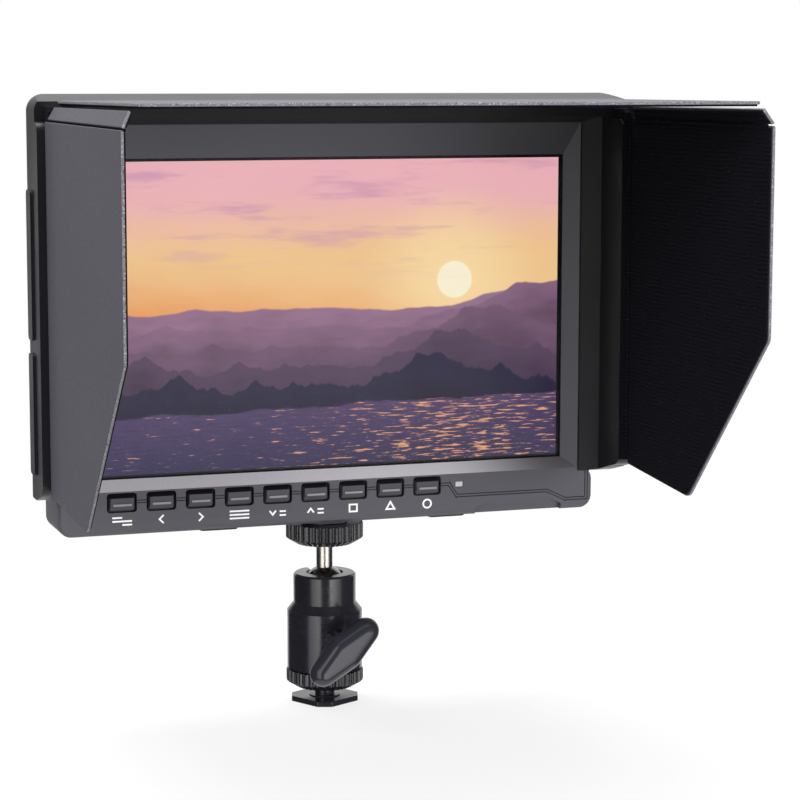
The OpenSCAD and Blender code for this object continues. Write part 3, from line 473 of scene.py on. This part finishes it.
def rim_skin(hood):
    """Cut edge of a flap: pale board with dark pits and light specks."""
    if "Board rim" in bpy.data.materials:
        return bpy.data.materials["Board rim"]
    material, nodes, shader = start_material("Board rim")
    light = nodes.add("ShaderNodeGroup", {
        "Colour": hood.rim, "Speck": screen_colour(196, 196, 200), "Amount": 0.7, "Scale": 2600.0},
        node_tree=specks())
    dark = nodes.add("ShaderNodeGroup", {
        "Colour": light.outputs["Colour"], "Speck": screen_colour(64, 64, 68), "Amount": 0.7,
        "Scale": 1900.0},
        node_tree=specks())
    pits = dark.outputs["Mask"]
    nodes.feed(shader, {"Base Color": dark.outputs["Colour"],
                        "Roughness": nodes.spread(pits, 0.45, 0.8),
                        "Normal": nodes.bump(pits, 0.4, -0.0001)})
    return material


def flock_skin(hood, name, across):
    """Flock lining whose ribs lie across the direction given."""
    if name in bpy.data.materials:
        return bpy.data.materials[name]
    material, nodes, shader = start_material(
        name, **{"Roughness": 0.95, "Specular IOR Level": 0.06})
    flock = nodes.add("ShaderNodeGroup", {
        "Colour": hood.flock, "Across": across, "Pitch": hood.rib_pitch},
        node_tree=ribbed_flock()).outputs
    nodes.feed(shader, {"Base Color": flock["Colour"],
                        "Normal": nodes.bump(flock["Height"], 0.7, 0.0003)})
    return material


def cover_glass():
    """Clear glass that lets the picture through, with faint smears."""
    if "Cover glass" in bpy.data.materials:
        return bpy.data.materials["Cover glass"]
    material, nodes, shader = start_material("Cover glass", **{
        "Base Color": screen_colour(20, 20, 24), "IOR": 1.45, "Specular IOR Level": 0.08})
    where = nodes.where()
    smear = nodes.noise(where, 24.0, 3.0)
    nodes.feed(shader, {"Roughness": nodes.spread(smear, 0.03, 0.12, 0.3, 0.7),
                        "Alpha": nodes.spread(smear, 0.035, 0.05, 0.3, 0.7)})
    return material


def picture_light(screen, low, high):
    """The lit picture: an evening sky over layered hills and still water, drawn by formulas."""
    material, nodes, shader = start_material(
        "Lit picture", **{"Base Color": (0.01, 0.01, 0.012, 1), "Roughness": 0.4})
    where = nodes.where()
    brush = nodes.stretched(where, 1.0, 1.0, 3.0)
    parts = nodes.add("ShaderNodeSeparateXYZ", {0: where})
    daub = nodes.noise(brush, 60.0, 4.0, 0.55)
    across = nodes.spread(parts.outputs["X"], -0.5, 0.5, low.x, high.x)
    up = nodes.spread(parts.outputs["Z"], 0.0, 1.0, low.z, high.z)
    wavy = nodes.sum("ADD", up, nodes.spread(daub, -0.018, 0.018, 0.3, 0.7))
    # Sky: pink at the top, yellow in the middle, orange low and more so on the left
    sky = nodes.mix(nodes.spread(wavy, 0.0, 1.0, 0.66, 0.93, True), screen.sky_mid, screen.sky_top)
    tilted = nodes.sum("ADD", wavy, nodes.sum("MULTIPLY", across, 0.16))
    low_sky = nodes.spread(tilted, 1.0, 0.0, 0.34, 0.66, True)
    sky = nodes.mix(low_sky, sky, screen.sky_low)
    # A low sun and its halo
    from_sun = nodes.sum("SUBTRACT", across, 0.27)
    dx = nodes.sum("MULTIPLY", from_sun, 1.6)
    dz = nodes.sum("SUBTRACT", up, 0.60)
    away = nodes.sum("SQRT", nodes.blend(dx, dx, dz, dz))
    sky = nodes.mix(nodes.spread(away, 0.75, 0.0, 0.04, 0.36, True), sky, screen_colour(255, 226, 170))
    sky = nodes.mix(nodes.spread(away, 1.0, 0.0, 0.058, 0.064), sky, screen_colour(255, 244, 214))
    # Long thin clouds
    streak = nodes.noise(nodes.stretched(where, 1.0, 1.0, 7.0), 26.0, 4.0, 0.6)
    cloud = nodes.sum("MULTIPLY", nodes.spread(streak, 0.0, 0.7, 0.5, 0.68, True),
                      nodes.spread(up, 0.0, 1.0, 0.55, 0.85, True))
    picture = nodes.mix(cloud, sky, screen_colour(205, 150, 178))
    # Hills, from the furthest to the nearest, each with its own rough ridge
    for index in range(HILLS):
        depth = index / (HILLS - 1)
        line = nodes.stretched(where, 1.0, 0.0, 0.0)
        ridge = nodes.noise(line, 14.0 + 9.0 * index, 6.0, 0.42 + 0.03 * index)
        swell = nodes.noise(line, 5.0 + 2.6 * index, 0.0)
        height = nodes.sum("ADD", nodes.spread(ridge, -0.06, 0.06, 0.3, 0.7),
                           nodes.spread(swell, 0.64 - 0.30 * depth, 0.40 - 0.2 * depth, 0.35, 0.65))
        inside = nodes.spread(nodes.sum("SUBTRACT", height, up), 0.0, 1.0, -0.002, 0.004)
        mist = nodes.spread(nodes.sum("SUBTRACT", height, wavy), 1.0, 0.55, 0.0, 0.16, True)
        hue = nodes.mix(depth, screen.hill_far, screen.hill_near)
        tone = nodes.shade(hue, nodes.sum("ADD", mist, nodes.spread(daub, -0.1, 0.1, 0.3, 0.7)))
        picture = nodes.mix(inside, picture, tone)
    # Still water with warm glints under the sun
    glint = nodes.noise(nodes.stretched(where, 1.0, 1.0, 11.0), 150.0, 3.0, 0.6)
    column = nodes.spread(nodes.sum("ABSOLUTE", from_sun), 0.11, 0.0, 0.0, 0.45)
    glints = nodes.spread(nodes.sum("ADD", glint, column), 0.0, 0.85, 0.64, 0.7)
    water = nodes.mix(nodes.spread(up, 0.0, 0.6, 0.0, 0.2), screen.water, screen_colour(96, 74, 116))
    water = nodes.mix(glints, nodes.shade(water, nodes.spread(glint, 0.75, 1.2, 0.3, 0.7)),
                      screen_colour(246, 176, 118))
    shore = nodes.sum("ADD", nodes.spread(daub, 0.192, 0.208, 0.3, 0.7),
                      nodes.sum("MULTIPLY", across, 0.03))
    below = nodes.spread(nodes.sum("SUBTRACT", shore, up), 0.0, 1.0, 0.0, 0.006)
    picture = nodes.mix(below, picture, water)
    # Nothing is lit outside the picture
    edge_x = nodes.spread(nodes.sum("ABSOLUTE", across), 1.0, 0.0, 0.4996, 0.5)
    edge_z = nodes.spread(nodes.sum("ABSOLUTE", nodes.sum("SUBTRACT", up, 0.5)), 1.0, 0.0, 0.4996, 0.5)
    lit = nodes.mix(nodes.sum("MULTIPLY", edge_x, edge_z), (0, 0, 0, 1), picture)
    nodes.feed(shader, {"Emission Color": lit, "Emission Strength": screen.glow})
    return material

# Shapes


def keep(bm, name, *materials, smooth=math.radians(30)):
    """Turns a bmesh into an object at the origin, with its place in its mesh."""
    mesh = bpy.data.meshes.new(name)
    bm.to_mesh(mesh)
    bm.free()
    for stale in ("custom_normal", "sharp_face", "sharp_edge"):
        if stale in mesh.attributes:
            mesh.attributes.remove(mesh.attributes[stale])
    mesh.shade_smooth()
    mesh.set_sharp_from_angle(angle=smooth)
    for material in materials:
        mesh.materials.append(material)
    piece = bpy.data.objects.new(name, mesh)
    bpy.context.scene.collection.objects.link(piece)
    return piece


def merged(node):
    """A bmesh of a CAD node with its loose triangles joined and its flat faces whole."""
    bm = bmesh.new()
    bm.from_mesh(frame["nodes"][node].data)
    bmesh.ops.remove_doubles(bm, verts=bm.verts, dist=2e-6)
    bmesh.ops.dissolve_limit(bm, angle_limit=math.radians(0.5), verts=bm.verts, edges=bm.edges,
                             delimit={"NORMAL"})
    return bm


def close(bm, rings):
    """Faces between rings of vertices, and one at either end."""
    for first, second in zip(rings, rings[1:]):
        for turn in range(len(first)):
            after = (turn + 1) % len(first)
            bm.faces.new((first[turn], first[after], second[after], second[turn]))
    bm.faces.new(list(reversed(rings[0])))
    bm.faces.new(rings[-1])


def soften(piece, width, segments=2):
    """Rounds the sharp edges, so that they catch the light."""
    for edge in piece.data.edges:
        edge.use_edge_sharp = False
    bevel = piece.modifiers.new("Soft edges", "BEVEL")
    bevel.width = width
    bevel.segments = segments
    bevel.limit_method = "ANGLE"
    bevel.angle_limit = math.radians(32)
    bevel.harden_normals = True
    bevel.material = -1


def body_of(node):
    for body, members in frame["record"]["behaviour"]["bodies"].items():
        if node in members:
            return body


def paint(node, material):
    """Gives a CAD node its finish, whether it shows or not."""
    slots = frame["nodes"][node].data.materials
    slots.clear()
    slots.append(material)


def dress(node, material, width=0.0, segments=2, rim=(), rim_test=None):
    """Stands a merged copy with softened edges in a CAD node's place."""
    paint(node, material)
    bm = merged(node)
    if rim:
        for face in bm.faces:
            face.material_index = rim_test(face)
    piece = keep(bm, node + "_skin", material, *rim)
    if width:
        soften(piece, width, segments)
    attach(piece, body_of(node))
    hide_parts(node)
    return piece


def dress_all(*rows):
    """Dresses nodes that are given with their finish and, in millimetres, their edges."""
    for node, material, width in rows:
        dress(node, material, width * MM)


def ride_along(piece, body):
    """Says which body a piece that the CAD lacks moves with."""
    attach(piece, body)


def aim(thing, target):
    thing.rotation_euler = (Vector(target) - thing.location).to_track_quat("-Z", "Y").to_euler()


# Operators


class MONITOR_OT_stage(bpy.types.Operator):
    """Floor, soft lamps and the camera"""

    bl_idname = "monitor.stage"
    bl_label = "Stage"

    def execute(self, context):
        stage = context.scene.monitor_stage
        scene = context.scene
        scene.view_settings.view_transform = "Standard"
        self.floor(stage)
        self.flags(stage)
        self.world(scene, stage)
        self.lamps(scene, stage)
        self.camera(scene)
        return {"FINISHED"}

    def floor(self, stage):
        bm = bmesh.new()
        bmesh.ops.create_circle(bm, cap_ends=True, radius=0.6, segments=96)
        material, nodes, shader = start_material(
            "Pale floor", **{"Roughness": 0.9, "Specular IOR Level": 0.1})
        where = nodes.where()
        tone = nodes.shade(stage.floor, nodes.spread(nodes.noise(where, 3.0), 0.985, 1.0))
        # The floor fades into the white surround
        away = nodes.add("ShaderNodeVectorMath", {0: where}, operation="LENGTH").outputs["Value"]
        fade = nodes.spread(away, 0.22, 0.0, 0.03, 0.26, True)
        nodes.feed(shader, {"Base Color": tone, "Alpha": fade})
        floor = keep(bm, "floor", material)
        floor.visible_glossy = False

    def flags(self, stage):
        """Dark cloth round the front and two lit cards, which only reflections see"""
        material, nodes, shader = start_material(
            "Dark cloth", **{"Roughness": 1.0, "Specular IOR Level": 0.0})
        where = nodes.where()
        tone = nodes.shade(screen_colour(52, 52, 58), nodes.spread(nodes.noise(where, 2.0), 0.8, 1.2))
        nodes.feed(shader, {"Base Color": tone})
        self.curtain("dark_cloth", material, CLOTH_RADIUS, 106, 390, -3.0, 3.0)
        for name, start, stop, low, high, first, last in CARDS:
            power = stage.lamp_power
            light = self.card_light(name, start, stop, first * power, last * power)
            self.curtain(name, light, CARD_RADIUS, start, stop, low, high)

    def card_light(self, name, start, stop, first, last):
        """Light that changes evenly from one side of a card to the other"""
        material, nodes, shader = start_material(name + " light", **{"Base Color": (0, 0, 0, 1)})
        where = nodes.where()
        turn = math.radians((start + stop) / 2 + 90)
        half = CARD_RADIUS * math.sin(math.radians(abs(stop - start) / 2))
        along = nodes.add("ShaderNodeVectorMath", {0: where, 1: (math.cos(turn), math.sin(turn), 0)},
                          operation="DOT_PRODUCT").outputs["Value"]
        nodes.feed(shader, {"Emission Strength": nodes.spread(along, first, last, -half, half),
                            "Emission Color": (1, 0.985, 0.97, 1)})
        return material

    def curtain(self, name, material, radius, start, stop, low, high):
        """An upright sheet bent round the set, between two angles"""
        bm = bmesh.new()
        steps = max(4, abs(stop - start) // 6)
        rows = []
        for step in range(steps + 1):
            turn = math.radians(start + (stop - start) * step / steps)
            spot = (radius * math.cos(turn), radius * math.sin(turn))
            rows.append([bm.verts.new((*spot, z)) for z in (low, high)])
        for first, second in zip(rows, rows[1:]):
            bm.faces.new((first[0], second[0], second[1], first[1]))
        sheet = keep(bm, name, material)
        for kind in ("camera", "diffuse", "shadow", "transmission", "volume_scatter"):
            setattr(sheet, "visible_" + kind, False)

    def world(self, scene, stage):
        world = bpy.data.worlds.new("Studio")
        scene.world = world
        world.use_nodes = True
        nodes = Nodes(world.node_tree)
        world.node_tree.nodes.clear()
        path = nodes.add("ShaderNodeLightPath")
        seen = nodes.sum("MAXIMUM", path.outputs["Is Camera Ray"], nodes.sum(
            "MAXIMUM", path.outputs["Is Glossy Ray"], path.outputs["Is Transmission Ray"]))
        strength = nodes.spread(seen, stage.surround, 1.0)
        back = nodes.add("ShaderNodeBackground", {"Color": (1, 1, 1, 1), "Strength": strength})
        nodes.add("ShaderNodeOutputWorld", {"Surface": back.outputs[0]})

    def lamps(self, scene, stage):
        for name, spot, size, watts in LAMPS:
            light = bpy.data.lights.new(name, "AREA")
            light.shape = "RECTANGLE"
            light.size, light.size_y = size
            light.energy = watts * stage.lamp_power
            lamp = bpy.data.objects.new(name, light)
            scene.collection.objects.link(lamp)
            lamp.location = spot
            lamp.visible_glossy = name == "Top lamp"
            aim(lamp, LAMP_TARGET)

    def camera(self, scene):
        data = bpy.data.cameras.new("Camera")
        data.sensor_width = 36.0
        data.lens = CAMERA_LENS
        camera = bpy.data.objects.new("Camera", data)
        scene.collection.objects.link(camera)
        camera.location = place(*CAMERA_SPOT)
        camera.rotation_euler = [math.radians(turn) for turn in CAMERA_TURN]
        scene.camera = camera


class MONITOR_OT_case(bpy.types.Operator):
    """Both housings with their screws, pads and status light"""

    bl_idname = "monitor.case"
    bl_label = "Case"

    def execute(self, context):
        case = context.scene.monitor_case
        shell = finish("Housing plastic", case.shell)
        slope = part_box("screen_glass")[0].z
        # The slope under the picture gets a painted sheen, and the pressed line between the keys a
        # painted shade
        dress("front_housing", shell, case.soft_edge,
              rim=(painted_bevel_sheen(case), finish("Black plastic", case.black)),
              rim_test=lambda face: self.front_sheen_and_shade(face, slope))
        dress("rear_housing", shell, case.soft_edge)
        dress_all(("housing_screws", finish("Sheet steel"), 0.15),
                  ("bottom_pads", finish("Rubber pad"), 0.3),
                  ("status_light", finish("Light lens"), 0.1),
                  ("mount_insert", finish("Turned brass"), 0.15))
        return {"FINISHED"}

    def front_sheen_and_shade(self, face, slope):
        """Painted sheen on the slope under the picture, and painted shade in black plastic on the floor
        of the pressed line between the keys
        """
        middle = face.calc_center_median()
        # Painted sheen on the slope under the picture
        if 0.3 < face.normal.z < 0.9 and face.normal.y < -0.3 and abs(middle.z - slope) < 3 * MM:
            return 1
        # Painted shade: black plastic on the floor of the pressed line
        if face.normal.y < -0.9 and 0.3 * MM < middle.y - FACE_Y < 0.5 * MM and middle.z < slope:
            return 2
        return 0


class MONITOR_OT_screen(bpy.types.Operator):
    """Glass, gasket and the lit picture"""

    bl_idname = "monitor.screen"
    bl_label = "Screen"

    def execute(self, context):
        screen = context.scene.monitor_screen
        low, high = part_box("lcd_panel")
        rim = LCD_RIM * MM
        lit = picture_light(screen, low + Vector((rim, 0, rim)), high - Vector((rim, 0, rim)))
        picture = dress("lcd_panel", lit, 0.1 * MM)
        # Its glow reaches the camera only, because it would be too strong on the hood
        picture.visible_diffuse = picture.visible_glossy = False
        dress_all(("screen_glass", cover_glass(), 0.1), ("glass_gasket", finish("Gasket foam"), 0),
                  ("lcd_bracket", finish("Sheet steel"), 0))
        return {"FINISHED"}


class MONITOR_OT_keys(bpy.types.Operator):
    """Nine keys and the printed signs under them"""

    bl_idname = "monitor.keys"
    bl_label = "Keys"

    def execute(self, context):
        case = context.scene.monitor_case
        for number in range(1, 10):
            self.key(case, number)
            self.sign(case, number)
        dress("key_board", finish("Circuit board"))
        return {"FINISHED"}

    def key(self, case, number):
        """A key whose front stands in from its hole, above and beside it most"""
        node = f"key_{number}"
        low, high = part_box(node)
        middle = (low.x + high.x) / 2
        # The bars' fronts get a painted highlight, and the keys' top faces and the bars' sides a painted
        # shade in black plastic
        line = finish("Key line", case.key_bar_highlight)
        piece = dress(node, finish("Key plastic", case.key), case.key_edge, 3,
                      rim=(line, finish("Black plastic", case.black)), rim_test=self.key_highlight_and_shade)
        bar_z = BASE_Z + BAR_HEIGHT * MM
        for vertex in piece.data.vertices:
            spot = vertex.co
            if spot.y > FACE_Y + 1.4 * MM:
                continue
            if spot.y < FACE_Y - 0.5 * MM:
                spot.z = bar_z + (spot.z - bar_z) * BAR_STRETCH
                continue
            spot.x -= math.copysign(KEY_BESIDE * MM, spot.x - middle)
            if spot.z > bar_z + 1.2 * MM:
                spot.z -= KEY_ABOVE * MM
            elif spot.z < bar_z - 0.5 * MM:
                spot.z += KEY_BELOW * MM

    def key_highlight_and_shade(self, face):
        """Painted highlight on the bar's front, and painted shade in black plastic on the key's top face
        and round the bar
        """
        depth = face.calc_center_median().y - FACE_Y
        # Painted highlight on the bar's front
        if depth < -0.7 * MM:
            return 1
        # Painted shade on the key's top face and round the bar
        round_bar = depth < -0.15 * MM and abs(face.normal.y) < 0.8
        return 2 if round_bar or face.normal.z > 0.8 else 0

    def sign(self, case, number):
        """Strokes in millimetres about the sign's middle"""
        low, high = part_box(f"key_{number}")
        middle = Vector(((low.x + high.x) / 2, FACE_Y, BASE_Z + SIGN_HEIGHT * MM))
        bm = bmesh.new()
        for stroke in SIGNS[number]:
            strip(bm, [Vector(point) * MM for point in stroke], case.sign_line)
        raised = bmesh.ops.extrude_face_region(bm, geom=bm.faces[:])["geom"]
        bmesh.ops.translate(bm, verts=[v for v in raised if isinstance(v, bmesh.types.BMVert)],
                            vec=(0, -SIGN_RISE * MM, 0))
        bmesh.ops.recalc_face_normals(bm, faces=bm.faces)
        bmesh.ops.translate(bm, verts=bm.verts, vec=middle)
        ride_along(keep(bm, f"sign_{number}", finish("Sign ink", case.print)), "monitor")


def arc(radius, start, stop, steps=24):
    """Points on a circle, in degrees anticlockwise from the right."""
    turns = [math.radians(start + (stop - start) * step / steps) for step in range(steps + 1)]
    return [(radius * math.cos(turn), radius * math.sin(turn)) for turn in turns]


def level(width, height, shift=0.0):
    """A level stroke at the height given."""
    return [(shift - width / 2, height), (shift + width / 2, height)]


SIGNS = {
    1: [level(3.0, 1.1, -1.5), level(6.0, 0.0), level(3.0, -1.1, 1.5)],
    2: [[(0.6, 1.25), (-0.7, 0), (0.6, -1.25)]],
    3: [[(-0.6, 1.25), (0.7, 0), (-0.6, -1.25)]],
    4: [level(6.2, 1.1), level(6.2, 0.0), level(6.2, -1.1)],
    5: [[(-2.6, 0.6), (-1.6, -0.7), (-0.6, 0.6)], level(2.0, -0.9, 1.6), level(2.0, 0.3, 1.6)],
    6: [[(-2.6, -0.7), (-1.6, 0.6), (-0.6, -0.7)], level(2.0, -0.9, 1.6), level(2.0, 0.3, 1.6)],
    7: [[(-1.2, -1.1), (-1.2, 1.1), (1.2, 1.1), (1.2, -1.1), (-1.2, -1.1)]],
    8: [[(-1.35, -1.0), (0, 1.25), (1.35, -1.0), (-1.35, -1.0)]],
    9: [arc(1.3, 0, 360)],
}


def strip(bm, points, width):
    """A flat line of even width through points drawn in X and Z, closed where it ends as it starts."""
    closed = (points[0] - points[-1]).length < 1e-7
    if closed:
        points = points[:-1]
    count = len(points)
    pairs = []
    for index, point in enumerate(points):
        before = points[index - 1] if closed or index else None
        after = points[(index + 1) % count] if closed or index < count - 1 else None
        runs = [run.normalized() for run in
                ([point - before] if before else []) + ([after - point] if after else [])]
        mean = (runs[0] + runs[-1]).normalized()
        side = Vector((-mean.y, mean.x)) * width / 2 / max(mean.dot(runs[0]), 0.3)
        pairs.append([bm.verts.new((spot.x, 0, spot.y)) for spot in (point + side, point - side)])
    for first, second in zip(pairs, pairs[1:] + pairs[:1] if closed else pairs[1:]):
        bm.faces.new((first[0], first[1], second[1], second[0]))


class MONITOR_OT_inside(bpy.types.Operator):
    """Boards, sockets and speaker"""

    bl_idname = "monitor.inside"
    bl_label = "Boards and sockets"

    def execute(self, context):
        case = context.scene.monitor_case
        black, steel = finish("Black plastic", case.black), finish("Sheet steel")
        dress_all(("main_board", finish("Circuit board"), 0), ("board_screws", steel, 0),
                  ("hdmi_socket", steel, 0.1),
                  ("power_socket", black, 0.15), ("headphone_socket", black, 0.15),
                  ("speaker", black, 0.2))
        return {"FINISHED"}


class MONITOR_OT_battery_plate(bpy.types.Operator):
    """Battery plate on the back, with its screws, contacts and latch"""

    bl_idname = "monitor.battery_plate"
    bl_label = "Battery plate"

    def execute(self, context):
        case = context.scene.monitor_case
        dress_all(("battery_plate", finish("Black plastic", case.black), 0.25),
                  ("plate_screws", finish("Sheet steel"), 0.12),
                  ("battery_contacts", finish("Turned brass"), 0.1),
                  ("battery_latch", finish("Red plastic"), 0.2))
        return {"FINISHED"}


class MONITOR_OT_hood(bpy.types.Operator):
    """Hood frame and its three lined flaps with their tabs"""

    bl_idname = "monitor.hood"
    bl_label = "Sun hood"

    def execute(self, context):
        hood = context.scene.monitor_hood
        dress("hood_frame", finish("Frame plastic", hood.frame), hood.soft_edge)
        upright = flock_skin(hood, "Flock, side", (0, 0, 1))
        flat = flock_skin(hood, "Flock, top", (0, 1, 0))
        rim = rim_skin(hood)
        for side in ("left", "right"):
            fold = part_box(f"{side}_flap")[1].z
            for node in (f"{side}_flap", f"{side}_tab"):
                dress(node, finish("Board skin", hood.board), hood.board_edge, rim=(rim,),
                      rim_test=lambda face: self.side_rim(face, fold))
            dress(f"{side}_lining", upright, 0.15 * MM)
            dress(f"{side}_tab_lining", upright, 0.15 * MM)
        dress("top_flap", finish("Board skin", hood.board), hood.board_edge, rim=(rim,),
              rim_test=lambda face: 1 if abs(face.normal.z) < 0.6 else 0)
        dress("top_lining", flat, 0.15 * MM)
        self.folds(upright)
        return {"FINISHED"}

    def folds(self, flock):
        """Rolled flock in every fold, a strip before it and a gusset at the frame's upper corners"""
        for joint in frame["record"]["behaviour"]["joints"]:
            if not joint["name"].endswith("_fold"):
                continue
            spot = Vector(joint["pos_m"])
            name = joint["name"].replace("_fold", "")
            low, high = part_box(name if name.endswith("tab") else name.replace("flap", "lining"))
            ends = [Vector(spot), Vector(spot)]
            axis = max(range(3), key=lambda index: abs(joint["axis"][index]))
            low_free, high_free, radius = ROLLS[axis]
            ends[0][axis] = low[axis] + low_free * MM
            ends[1][axis] = high[axis] - high_free * MM
            ride_along(self.roll(name + "_roll", ends, radius * MM, flock), joint["parent"])
        for side, sign in (("left", -1), ("right", 1)):
            low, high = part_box(f"{side}_lining")
            front = high.y + 1 * MM
            edge = abs(low.x if sign > 0 else high.x)
            up = (low.z + STRIP_FREE[0] * MM, high.z - STRIP_FREE[1] * MM)
            across = (edge - STRIP_WIDTH * MM, edge)
            ride_along(self.ribbon(f"{side}_strip", flock, sign, across, front, up), "monitor")
            ride_along(self.gusset(side, sign, edge, front, high.z, flock), "monitor")

    def roll(self, name, ends, radius, material):
        """A round roll with domed ends between two points"""
        run = ends[1] - ends[0]
        bm = bmesh.new()
        stations = [(share * radius, size * radius) for share, size in ((0, 0.4), (0.3, 0.85), (1, 1))]
        stations += [(run.length - share, size) for share, size in reversed(stations)]
        circle = arc(1, 0, 324, 9)
        close(bm, [[bm.verts.new((size * x, size * y, rise)) for x, y in circle]
                   for rise, size in stations])
        turned = run.to_track_quat("Z", "Y").to_matrix().to_4x4()
        bmesh.ops.transform(bm, matrix=turned, verts=bm.verts)
        bmesh.ops.translate(bm, verts=bm.verts, vec=ends[0])
        return keep(bm, name, material, smooth=math.radians(60))

    def ribbon(self, name, material, sign, across, front, up):
        """A thin ribbon on the front edge of the frame's side wall"""
        bm = bmesh.new()
        near, far = across
        outline = ((near, 0.05), (near, -0.08), (near + 0.3 * MM, -0.15), (far, -0.15), (far, 0.05))
        close(bm, [[bm.verts.new((sign * x, front + y * MM, z)) for x, y in outline] for z in up])
        bmesh.ops.recalc_face_normals(bm, faces=bm.faces)
        return keep(bm, name, material)

    def gusset(self, side, sign, edge, front, high, material):
        """Fills the corner between wall, rail and tab"""
        bm = bmesh.new()
        for outline, across in GUSSET:
            close(bm, [[bm.verts.new((sign * (edge + x * MM), front + y * MM, high + z * MM))
                        for y, z in outline] for x in across])
        bmesh.ops.recalc_face_normals(bm, faces=bm.faces)
        piece = keep(bm, f"{side}_gusset", material)
        soften(piece, 0.2 * MM)
        return piece

    def side_rim(self, face, fold):
        """Skin on the broad faces and in the fold, and a bare rim elsewhere"""
        in_fold = abs(face.calc_center_median().z - fold) < 0.9 * MM and abs(face.normal.z) > 0.5
        return 0 if in_fold or abs(face.normal.x) > 0.8 else 1


class MONITOR_OT_ball_head(bpy.types.Operator):
    """Ball head, lever, knurled wheels and shoe foot"""

    bl_idname = "monitor.ball_head"
    bl_label = "Ball head"

    def execute(self, context):
        head = context.scene.monitor_head
        metal = finish("Black metal", head.black)
        for node in ("head_body", "head_plug", "shoe_foot"):
            dress(node, metal, head.soft_edge)
        for node in ("top_wheel", "shoe_wheel"):
            dress(node, metal, 0.12 * MM)
        self.ball_stem(head)
        dress("lock_screw", finish("Turned steel", head.steel), 0.15 * MM)
        dress("ball_seat", finish("Nylon"))
        dress("clamp_piston", finish("Turned brass"))
        lever = dress("lock_lever", finish("Lever plastic", head.lever))
        remesh = lever.modifiers.new("Even skin", "REMESH")
        remesh.mode = "VOXEL"
        remesh.voxel_size = 0.36 * MM
        remesh.use_smooth_shade = True
        smooth = lever.modifiers.new("Worn round", "SMOOTH")
        smooth.factor = 0.5
        smooth.iterations = 14
        return {"FINISHED"}

    def ball_stem(self, head):
        """Bright stem on a ball whose steel is darkened as painted shade"""
        low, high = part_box("ball_stem")
        radius = (high.x - low.x) / 2
        centre = Vector(((low.x + high.x) / 2, (low.y + high.y) / 2, low.z + radius))
        dress("ball_stem", finish("Turned steel", head.steel), 0.15 * MM,
              # The ball's faces take the steel darkened as painted shade
              rim=(finish("Ball steel", head.ball),),
              rim_test=lambda face: int((face.calc_center_median() - centre).length < radius * 1.01))


STEPS = (MONITOR_OT_stage, MONITOR_OT_case, MONITOR_OT_screen, MONITOR_OT_keys, MONITOR_OT_inside,
         MONITOR_OT_battery_plate, MONITOR_OT_hood, MONITOR_OT_ball_head)
SETTINGS = {"monitor_case": CaseSettings, "monitor_screen": ScreenSettings,
            "monitor_hood": HoodSettings, "monitor_head": HeadSettings, "monitor_stage": StageSettings}


class MONITOR_PT_looks(bpy.types.Panel):
    """Lists the settings and the steps"""

    bl_idname = "MONITOR_PT_looks"
    bl_label = "Field Monitor"
    bl_space_type = "VIEW_3D"
    bl_region_type = "UI"
    bl_category = "Monitor"

    def draw(self, context):
        for name, settings in SETTINGS.items():
            box = self.layout.box()
            box.label(text=settings.__name__)
            for key in settings.__annotations__:
                box.prop(getattr(context.scene, name), key)
        for step in STEPS:
            self.layout.operator(step.bl_idname)


def register():
    for item in (*SETTINGS.values(), *STEPS, MONITOR_PT_looks):
        bpy.utils.register_class(item)
    for name, settings in SETTINGS.items():
        setattr(bpy.types.Scene, name, bpy.props.PointerProperty(type=settings))


def unregister():
    for name in SETTINGS:
        delattr(bpy.types.Scene, name)
    for item in reversed((*SETTINGS.values(), *STEPS, MONITOR_PT_looks)):
        bpy.utils.unregister_class(item)


def main():
    register()
    for step in STEPS:
        group, name = step.bl_idname.split(".")
        getattr(getattr(bpy.ops, group), name)()


if __name__ == "__main__":
    main()
